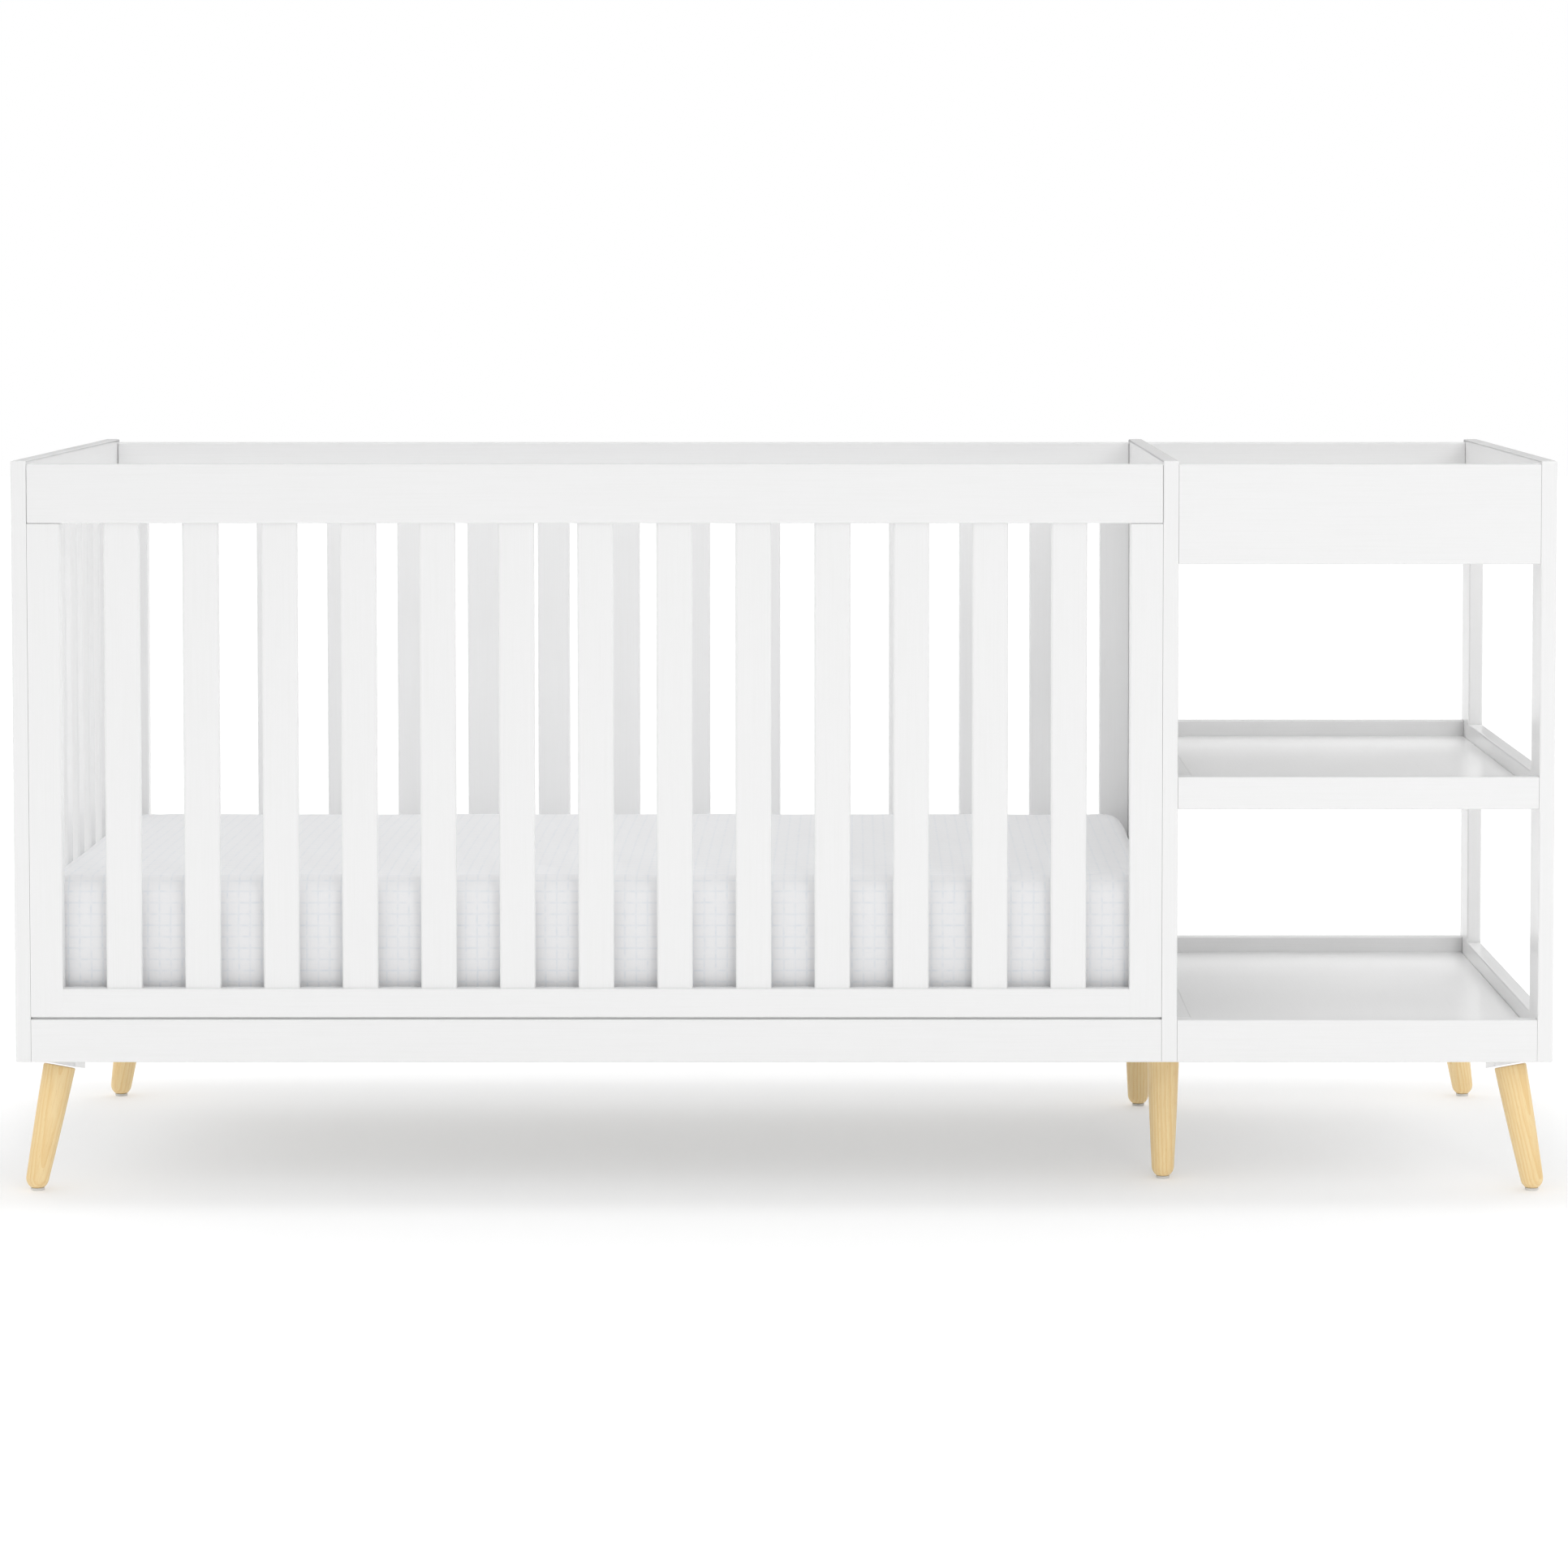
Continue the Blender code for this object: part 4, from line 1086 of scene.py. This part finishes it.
class CribMattressSupport(bpy.types.Operator):
    """Builds the slatted deck under the mattress, with a cleat at each corner"""

    bl_idname = "crib.mattress_support"
    bl_label = "Mattress support"

    def execute(self, context):
        settings = context.scene.crib_boards
        edge, glue = settings.edge, settings.glue_line
        low, high = corners("mattress_support")
        foot = high[2] - DECK_THICKNESS
        left, right = low[0] + DECK_GAP, high[0] - DECK_GAP
        front, back = low[1] + SUPPORT_RAIL, high[1] - SUPPORT_RAIL
        inner_left, inner_right = left + SUPPORT_RAIL, right - SUPPORT_RAIL
        made = []
        sides = (low[1], front, "+u"), (back, high[1], "-u")
        for number, (start, stop, face) in enumerate(sides):
            joints = [(face, left, inner_left, glue), (face, inner_right, right, glue)]
            made.append(
                board(
                    (left, start, foot), (right, stop, high[2]), 0, edge, (edge, edge), joints,
                    RAIL_SEED + number,
                )
            )
        for number, start in enumerate((left, inner_right)):
            made.append(
                board(
                    (start, front, foot), (start + SUPPORT_RAIL, back, high[2]), 1, edge,
                    (glue, glue), seed=CROSS_SEED + number,
                )
            )
        made += slats(
            (inner_left, front, foot), (inner_right, back, high[2]), 0, 1, SUPPORT_SLATS,
            SUPPORT_SLAT_WIDTH, DECK_SEED,
        )
        for number, (face, inward, middle) in enumerate(cleat_faces(low, high)):
            near, far = sorted((face, face + inward * CLEAT_THICKNESS))
            made.append(
                board(
                    (near, middle - CLEAT_WIDTH / 2, low[2]),
                    (far, middle + CLEAT_WIDTH / 2, foot + CLEAT_LAP),
                    1, edge, (edge, edge), seed=CLEAT_SEED + number,
                )
            )
        new_piece(
            "mattress_support_boards", joined(made), lacquered_wood(), "support",
            ["mattress_support"],
        )
        return {"FINISHED"}


class CribHardware(bpy.types.Operator):
    """Adds the support's hexagon socket bolts with washers, and the inserts in the level holes"""

    bl_idname = "crib.hardware"
    bl_label = "Fasteners"

    def execute(self, context):
        settings = context.scene.crib_hardware
        boards = context.scene.crib_boards
        plate, head, wide, key = (
            settings.washer, settings.head_height, settings.head_radius, settings.key_radius
        )
        bolt = turned(
            [
                (0, plate / 2), (wide - HEAD_FOOT[0], plate / 2), (wide, plate + HEAD_FOOT[1]),
                *((wide - inward, head - down) for inward, down in HEAD_RIM),
                (key + KEY_MOUTH[0], head), (key, head - KEY_MOUTH[1]),
                (key, plate + KEY_FLOOR[0]), (0, plate + KEY_FLOOR[1]),
            ],
            BOLT_STEPS, hexagon=KEY_ROWS,
        )
        ring, bevel = settings.washer_radius, WASHER_BEVEL
        washer = turned(
            [
                (0, 0), (ring - bevel, 0), (ring, bevel), (ring, plate - bevel),
                (ring - bevel, plate), (0, plate),
            ],
            BOLT_STEPS,
        )
        made = []
        for face, inward, middle in cleat_faces(*corners("mattress_support")):
            place = (face + inward * CLEAT_THICKNESS, middle, boards.lowest_hole)
            turn = Matrix.Rotation(math.radians(90) * inward, 4, "Y")
            made += [placed(thing, Matrix.Translation(place) @ turn) for thing in (bolt, washer)]
        new_piece("support_bolts", joined(made), zinc_plated(), "support")
        bore, wall = settings.insert_bore, boards.hole_radius - INSERT_PLAY
        end = boards.hole_depth - INSERT_SEAT
        floor = -end + INSERT_FLOOR
        insert = turned(
            [
                (0, -end), (wall, -end), (wall, -INSERT_SUNK - INSERT_BEVEL),
                (wall - INSERT_BEVEL, -INSERT_SUNK), (bore + INSERT_MOUTH, -INSERT_SUNK),
                (bore, -INSERT_SUNK - INSERT_MOUTH), (bore, floor), (0, floor),
            ],
            CUT_STEPS,
        )
        made = []
        for node, side, inward in (("left_end_panel", 1, 1), ("middle_panel", 0, -1)):
            turn = Matrix.Rotation(math.radians(90) * inward, 4, "Y")
            for place in level_places(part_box(node)[side].x):
                made.append(placed(insert, Matrix.Translation(place) @ turn))
        new_piece("level_inserts", joined(made), zinc_plated(), "frame")
        return {"FINISHED"}


# The mattress: a firm slab in a fitted sheet

LONG_STEPS = 160
SHORT_STEPS = 80
CORNER_STEPS = 16
TOP_ROWS = 3
EDGE_ROWS = 8
SIDE_ROWS = 26
UNDER_ROWS = 6
WELD_DECIMALS = 7  # points that agree to so many decimals of a metre are one
HEM_RADIUS = 0.004  # least corner radius of the hem
CORE_INSET = 0.0012  # from the sheet's outside to the mattress inside it
CORE_LIFT = 0.0024  # from the sheet's underside to the mattress inside it
# Slow swells of the sheet's top: share of the height, wavelengths along x and y, phase
SWELLS = ((1, 0.31, 0.47, 1.1), (0.6, 0.17, -0.36, 2.3), (0.4, -0.11, 0.21, 0.4))
SWELL_RISE = 0.0006
FAN_REACH = 0.055  # from a corner to where the folds on the top are highest
FAN_FOLDS = 24  # folds in a full turn round a corner
FAN_SHIFT = 9  # phase of those folds for each metre of the corner's x
# Slow waves round the sides: share of the height, waves, turn from top to bottom, phase
WAVES = ((1, 17, 3, 0), (0.5, 29, -4, 1))
WAVE_RISE = 0.0005
FOLD_REACH = 0.085  # distance over which the folds beside a corner's seam fade
FOLD_SPACING = 0.027
FOLD_LEAN = 5  # phase of those folds from top to bottom
FOLD_START = 0.25  # share of their height that they have at the top's edge
SEAM_RISE = 0.0010
SEAM_WIDTH = 0.0028
STITCH = 0.012  # from one pucker of a seam to the next
STITCH_SHARE = 0.4  # of the seam's height, by which it puckers


def welded(surface):
    """The surface with all points at one place made one, and narrowed quads made triangles."""
    points, loops, sizes, uv = surface
    rounded = np.round(points, WELD_DECIMALS)
    _, first, same = np.unique(rounded, axis=0, return_index=True, return_inverse=True)
    loops = same.reshape(-1)[loops]
    face = np.repeat(np.arange(len(sizes)), sizes)
    start = np.concatenate([[0], np.cumsum(sizes)[:-1]])
    after = np.arange(len(loops)) + 1
    after[start + sizes - 1] = start
    keep = loops != loops[after]
    sizes = np.bincount(face[keep], minlength=len(sizes))
    keep &= (sizes >= 3)[face]
    return points[first], loops[keep], sizes[sizes >= 3], uv[keep]


def outline_columns():
    """Columns round a rounded rectangle, anticlockwise from the middle of its right side.

    Gives for each column its share of the way to the corner centres, and its outward direction.
    """
    long_side = np.linspace(1, -1, LONG_STEPS + 1)[:-1]
    short_side = np.linspace(-1, 1, SHORT_STEPS + 1)[:-1]
    angle = np.linspace(0, math.pi / 2, CORNER_STEPS + 1)[:-1]
    half = SHORT_STEPS // 2
    shares, directions = [], []
    for start, along in (
        (0, np.stack([np.ones(half), short_side[half:]], 1)),
        (90, np.stack([long_side, np.ones(LONG_STEPS)], 1)),
        (180, np.stack([-np.ones(SHORT_STEPS), -short_side], 1)),
        (270, np.stack([-long_side, -np.ones(LONG_STEPS)], 1)),
        (360, np.stack([np.ones(half), short_side[:half]], 1)),
    ):
        turn = math.radians(start)
        shares.append(along)
        directions.append(np.tile([round(math.cos(turn)), round(math.sin(turn))], (len(along), 1)))
        if start < 360:
            corner = np.sign([math.cos(turn + math.pi / 4), math.sin(turn + math.pi / 4)])
            shares.append(np.tile(corner, (CORNER_STEPS, 1)))
            directions.append(np.stack([np.cos(angle + turn), np.sin(angle + turn)], 1))
    return np.concatenate(shares), np.concatenate(directions)


def section_rows(top, bottom, settings, hem):
    """Rows of a slab's cross-section, from the underside or the hem up to the flat of the top.

    Gives each row's distance in from the side, its height, and its lean: 0 on the top, pi / 2 on
    the side and pi below. Round an edge they are r * (1 - sin a) in and r * (1 - cos a) off.
    """
    corner, edge = settings.corner, settings.edge
    quarter = np.linspace(0, math.pi / 2, EDGE_ROWS + 1)
    drawn_in, off = edge * (1 - np.sin(quarter)), edge * (1 - np.cos(quarter))
    down = np.linspace(0, 1, SIDE_ROWS + 1)[1:-1]
    side = top - edge - down * (top - bottom - 2 * edge)
    inward = np.linspace(corner, edge, TOP_ROWS + 1)[:-1]
    under = np.linspace(edge, hem or corner, UNDER_ROWS + 1)[1:]
    inset = (inward, drawn_in, 0 * down, drawn_in[::-1], under)
    height = (0 * inward + top, top - off, side, bottom + off[::-1], 0 * under + bottom)
    upright = 0 * down + math.pi / 2
    lean = (0 * inward, quarter, upright, math.pi - quarter[::-1], 0 * under + math.pi)
    return (np.concatenate(rows)[::-1, None] for rows in (inset, height, lean))


def crowned(plan, half, crown):
    """How far the top stands up at (x, y): crown * (1 - (x / a)^2) * (1 - (y / b)^2)."""
    fall = 1 - (plan / half) ** 2
    return crown * fall[..., 0] * fall[..., 1]


def top_slack(plan, half, crease):
    """Slack of the sheet's top: slow swells, and folds that fan out from each corner.

    The swells are half the sum of share * sin(2 pi (x / a + y / b) + phase). At distance d and
    angle a from a corner a fold stands crease * d / F * exp(1 - d / F) * (1 + cos(24 a + p)) / 2.
    """
    x, y = plan[..., 0], plan[..., 1]
    swells = sum(s * np.sin(2 * math.pi * (x / a + y / b) + phase) for s, a, b, phase in SWELLS)
    rise = SWELL_RISE * (swells / 2)
    for corner in product(*zip(-half, half)):
        across, deep = np.abs(x - corner[0]), np.abs(y - corner[1])
        away = np.hypot(across, deep) / FAN_REACH
        angle = np.arctan2(deep, across)
        folds = 1 + np.cos(angle * FAN_FOLDS + corner[0] * FAN_SHIFT)
        rise = rise + crease * (away * np.exp(1 - away)) * folds / 2
    return rise


def side_slack(to_seam, round_way, drop, height, crease):
    """Slack of the sheet's sides: slow waves, folds beside the corner seams, and the seams.

    The folds are a cosine of the distance from the seam that fades with exp(-distance / reach),
    and a seam is exp(-(distance / width)^2), puckered by a cosine of the height.
    """
    waves = sum(s * np.sin(n * round_way + t * drop + phase) for s, n, t, phase in WAVES)
    turn = 2 * math.pi * to_seam / FOLD_SPACING + FOLD_LEAN * drop
    folds = np.exp(-to_seam / FOLD_REACH) * (1 + np.cos(turn)) / 2
    folds = folds * np.minimum(1, FOLD_START + drop)
    puckers = 1 + STITCH_SHARE * np.cos(2 * math.pi * height / STITCH)
    seam = np.exp(-((to_seam / SEAM_WIDTH) ** 2)) * puckers
    return WAVE_RISE * waves + crease * folds + SEAM_RISE * seam


def slab(low, high, settings, hem=0.0, slack=0.0):
    """A crowned slab with round corners and edges, from two corners of its box.

    Seen from above each row is a rounded rectangle, drawn in by d with corner radius R - d. From
    the top's flat the rows go over a quarter circle of the edge radius, down the side and under
    it. The top, and the underside of a slab without a hem, is a plain grid that meets the rows.
    The side draws in by tuck * (1 - 2h)^2 at height share h, and the top rises by its crown.
    slack scales the sheet's waves, corner folds, seams and gathers. UV is the distance over the
    surface from the middle, along the side that a face belongs to.
    """
    low, high = np.array(low, float), np.array(high, float)
    middle, half = (low + high) / 2, (high - low)[:2] / 2
    top, bottom = high[2] - settings.crown, low[2]
    corner, edge, crease = settings.corner, settings.edge, settings.crease
    inset, height, lean = section_rows(top, bottom, settings, hem)
    radius = np.maximum(corner - inset, HEM_RADIUS if hem else 0)
    radius[-1] = 0
    shares, directions = outline_columns()
    straight = half - inset[..., None] - radius[..., None]
    plan = shares * straight + radius[..., None] * directions

    # Distances over the surface: along the side from its middle, and outward from the top's middle
    run = np.hypot(np.diff(inset, axis=0), np.diff(height, axis=0))
    from_rim = np.concatenate([np.cumsum(run[::-1])[::-1], [0]])[:, None] - (corner - edge)
    bend = np.arctan2(*np.abs(directions).T)
    bends = np.stack([bend, math.pi / 2 - bend], 1)
    sign = np.where(plan < 0, -1, 1)
    on_top = (lean == 0)[..., None]
    along = sign * (np.abs(shares) * straight + radius[..., None] * bends)
    along = np.where(on_top, plan, along)
    outward = sign * (half - edge + np.maximum(from_rim, 0)[..., None])
    outward = np.where(on_top, plan, outward)

    # The slack of the cloth, square to the surface
    to_seam = ((half - corner) * (1 - np.abs(shares))).sum(1)
    to_seam = to_seam + corner * np.abs(bends.min(1) - math.pi / 4)
    ring = shares * half
    step = np.hypot(*np.diff(np.vstack([ring, ring[:1]]), axis=0).T)
    round_way = np.concatenate([[0], np.cumsum(step)[:-1]]) / step.sum() * 2 * math.pi
    drop = np.clip((top - height) / (top - bottom), 0, 1)
    gathers = 1 + np.cos(round_way * round(step.sum() / (2 * settings.gather)))
    gathers = settings.gather_rise * gathers / 2
    up, out = np.cos(lean), np.sin(lean)
    upper, under = np.clip(up, 0, 1), np.clip(-up, 0, 1)
    sides = side_slack(to_seam, round_way, drop, height, crease)
    lift = slack * (upper**2 * top_slack(plan, half, crease) + out**2 * sides)
    tuck = settings.tuck * (1 - 2 * drop) ** 2 * out
    plan = plan + directions * (out * lift - tuck)[..., None]
    z = height + up * upper * lift + crowned(plan, half, settings.crown) * (1 - drop)
    z = z + slack * under**4 * gathers * (inset > edge)

    rows, count = z.shape
    loops, where = ring_faces(rows, count)
    column = where[::4, 1]
    facing = np.abs(directions[column] + directions[(column + 1) % count])
    on_long = np.repeat(facing[:, 1] > facing[:, 0], 4)
    at = (where[:, 0], where[:, 1] % count)
    uv = np.where(np.stack([on_long, ~on_long], 1), along[at], outward[at])
    points = np.concatenate([plan, z[..., None]], 2).reshape(-1, 3)
    made = [(points, loops, np.full(len(loops) // 4, 4), uv)]
    line_x, line_y = (
        np.linspace(-1, 1, steps + 1) * (size - corner)
        for steps, size in zip((LONG_STEPS, SHORT_STEPS), half)
    )
    plan, quads = flat_grid(line_x, line_y)
    rise = crowned(plan, half, settings.crown)
    faces = [(top + rise + slack * top_slack(plan, half, crease), quads)]
    if not hem:
        faces.append((np.full(len(plan), bottom), quads[:, ::-1]))
    for z, order in faces:
        loops = order.ravel()
        made.append((np.column_stack([plan, z]), loops, np.full(len(order), 4), plan[loops]))
    points, loops, sizes, uv = welded(joined(made))
    return points + (middle[0], middle[1], 0), loops, sizes, uv


class CribMattress(bpy.types.Operator):
    """Builds the mattress and the fitted sheet stretched over it"""

    bl_idname = "crib.mattress"
    bl_label = "Mattress and sheet"

    def execute(self, context):
        settings = context.scene.crib_mattress
        low, high = corners("mattress")
        sheet = new_piece(
            "fitted_sheet", slab(low, high, settings, hem=settings.hem_reach, slack=1.0),
            woven_percale(), "mattress", sharp=SMOOTH,
        )
        cloth = sheet.modifiers.new("cloth_thickness", "SOLIDIFY")
        cloth.thickness = settings.cloth
        cloth.offset = -1
        inner_low = low + (CORE_INSET, CORE_INSET, CORE_LIFT)
        core = new_piece(
            "foam_mattress", slab(inner_low, high - CORE_INSET, settings), quilted_ticking(),
            "mattress", ["mattress"], sharp=SMOOTH,
        )
        return {"FINISHED"}


# The stage

FLOOR_HALF = 20.0
FLOOR_STEPS = 40
KEY_SIZE = 1.1
KEY_PLACE = (1.9, -5.6, 1.9)
KEY_TARGET = (0, 0, 0.5)
CAMERA_PLACE = (0.0815, -6.2042, 1.0897)
CAMERA_SHIFT = (-0.0443, -0.15)
CAMERA_REACH = 200
# The light tent's strength by height: (sine of the height from, to, share there, share at the end)
TENT = ((0.15, 0.42, 0.0, 1.0), (0.70, 0.97, 1.0, 0.25))


def floor_surface():
    """A flat square grid under the object, its spacing growing with the cube of the distance."""
    line = FLOOR_HALF * np.linspace(-1, 1, FLOOR_STEPS + 1) ** 3
    plan, quads = flat_grid(line, line)
    loops = quads.ravel()
    points = np.column_stack([plan, np.zeros(len(plan))])
    return points, loops, np.full(len(quads), 4), plan[loops]


def tented_sky():
    """The light of a white tent round the crib, as a world. Its strength grows with the way's y,
    and is cut by a smooth step over the height near the floor and by another overhead. Behind the
    crib the height counts for more by hem * y. The camera itself sees plain white."""
    settings = bpy.context.scene.crib_stage
    sky = bpy.data.worlds.new("studio")
    sky.use_nodes = True
    tree = sky.node_tree
    lit = tree.nodes["Background"]
    lit.inputs["Color"].default_value = (1, 1, 1, 1)
    place = add_node(tree, "TexCoord").outputs["Generated"]
    way = add_node(tree, "SeparateXYZ", place).outputs
    strength = add_node(
        tree, "Math", way[1], settings.behind * settings.sky, settings.sky, operation="MULTIPLY_ADD"
    )
    back = add_node(tree, "Math", way[1], 0.0, operation="MAXIMUM")
    height = add_node(tree, "Math", back, settings.hem, way[2], operation="MULTIPLY_ADD")
    for first, last, start, end in TENT:
        step = add_node(
            tree, "MapRange", Value=height, From_Min=first, From_Max=last, To_Min=start, To_Max=end,
            interpolation_type="SMOOTHSTEP",
        )
        strength = add_node(tree, "Math", strength, step, operation="MULTIPLY")
    tree.links.new(strength.outputs[0], lit.inputs["Strength"])
    seen = add_node(tree, "Background", Color=(1, 1, 1, 1), Strength=1.0)
    ray = add_node(tree, "LightPath").outputs["Is Camera Ray"]
    both = add_node(tree, "MixShader", ray, lit, seen)
    tree.links.new(both.outputs[0], tree.nodes["World Output"].inputs["Surface"])
    return sky


def soft_light(name, power, wide, place, target):
    """A square area light at a place, turned towards a target."""
    lamp = bpy.data.lights.new(name, "AREA")
    lamp.shape = "SQUARE"
    lamp.size = wide
    lamp.energy = power
    light = bpy.data.objects.new(name, lamp)
    light.location = place
    light.rotation_euler = (Vector(target) - Vector(place)).to_track_quat("-Z", "Y").to_euler()
    bpy.context.scene.collection.objects.link(light)


class CribStage(bpy.types.Operator):
    """Lays the floor, and sets the studio light and the camera"""

    bl_idname = "crib.stage"
    bl_label = "Stage"

    def execute(self, context):
        scene = context.scene
        settings = scene.crib_stage
        floor = bpy.data.objects.new("seamless_floor", new_mesh("seamless_floor", floor_surface()))
        floor.data.materials.append(seamless_floor())
        scene.collection.objects.link(floor)
        scene.world = tented_sky()
        soft_light("key", settings.key, KEY_SIZE, KEY_PLACE, KEY_TARGET)
        lens = bpy.data.cameras.new("front_view")
        lens.lens = settings.lens
        lens.shift_x, lens.shift_y = CAMERA_SHIFT
        lens.clip_end = CAMERA_REACH
        camera = bpy.data.objects.new("front_view", lens)
        camera.location = CAMERA_PLACE
        camera.rotation_euler = (math.pi / 2 - settings.tilt, 0, 0)
        scene.collection.objects.link(camera)
        scene.camera = camera
        scene.view_settings.view_transform = "Standard"
        scene.view_settings.look = "None"
        return {"FINISHED"}


OPERATORS = (
    CribFrontPanel,
    CribGluedPanels,
    CribBase,
    CribChanger,
    CribLegs,
    CribMattressSupport,
    CribHardware,
    CribMattress,
    CribStage,
)


class CribPanel(bpy.types.Panel):
    """Lists the pieces in the order in which they are built"""

    bl_idname = "VIEW3D_PT_crib"
    bl_label = "Crib and changer"
    bl_space_type = "VIEW_3D"
    bl_region_type = "UI"
    bl_category = "Crib"

    def draw(self, context):
        for operator in OPERATORS:
            self.layout.operator(operator.bl_idname)


def register():
    for kind in (*SETTINGS.values(), *OPERATORS, CribPanel):
        bpy.utils.register_class(kind)
    for name, kind in SETTINGS.items():
        setattr(bpy.types.Scene, name, PointerProperty(type=kind))


def unregister():
    for name in SETTINGS:
        delattr(bpy.types.Scene, name)
    for kind in (CribPanel, *OPERATORS[::-1], *SETTINGS.values()):
        bpy.utils.unregister_class(kind)


def main():
    register()
    for operator in OPERATORS:
        group, name = operator.bl_idname.split(".")
        getattr(getattr(bpy.ops, group), name)()


if __name__ == "__main__":
    main()
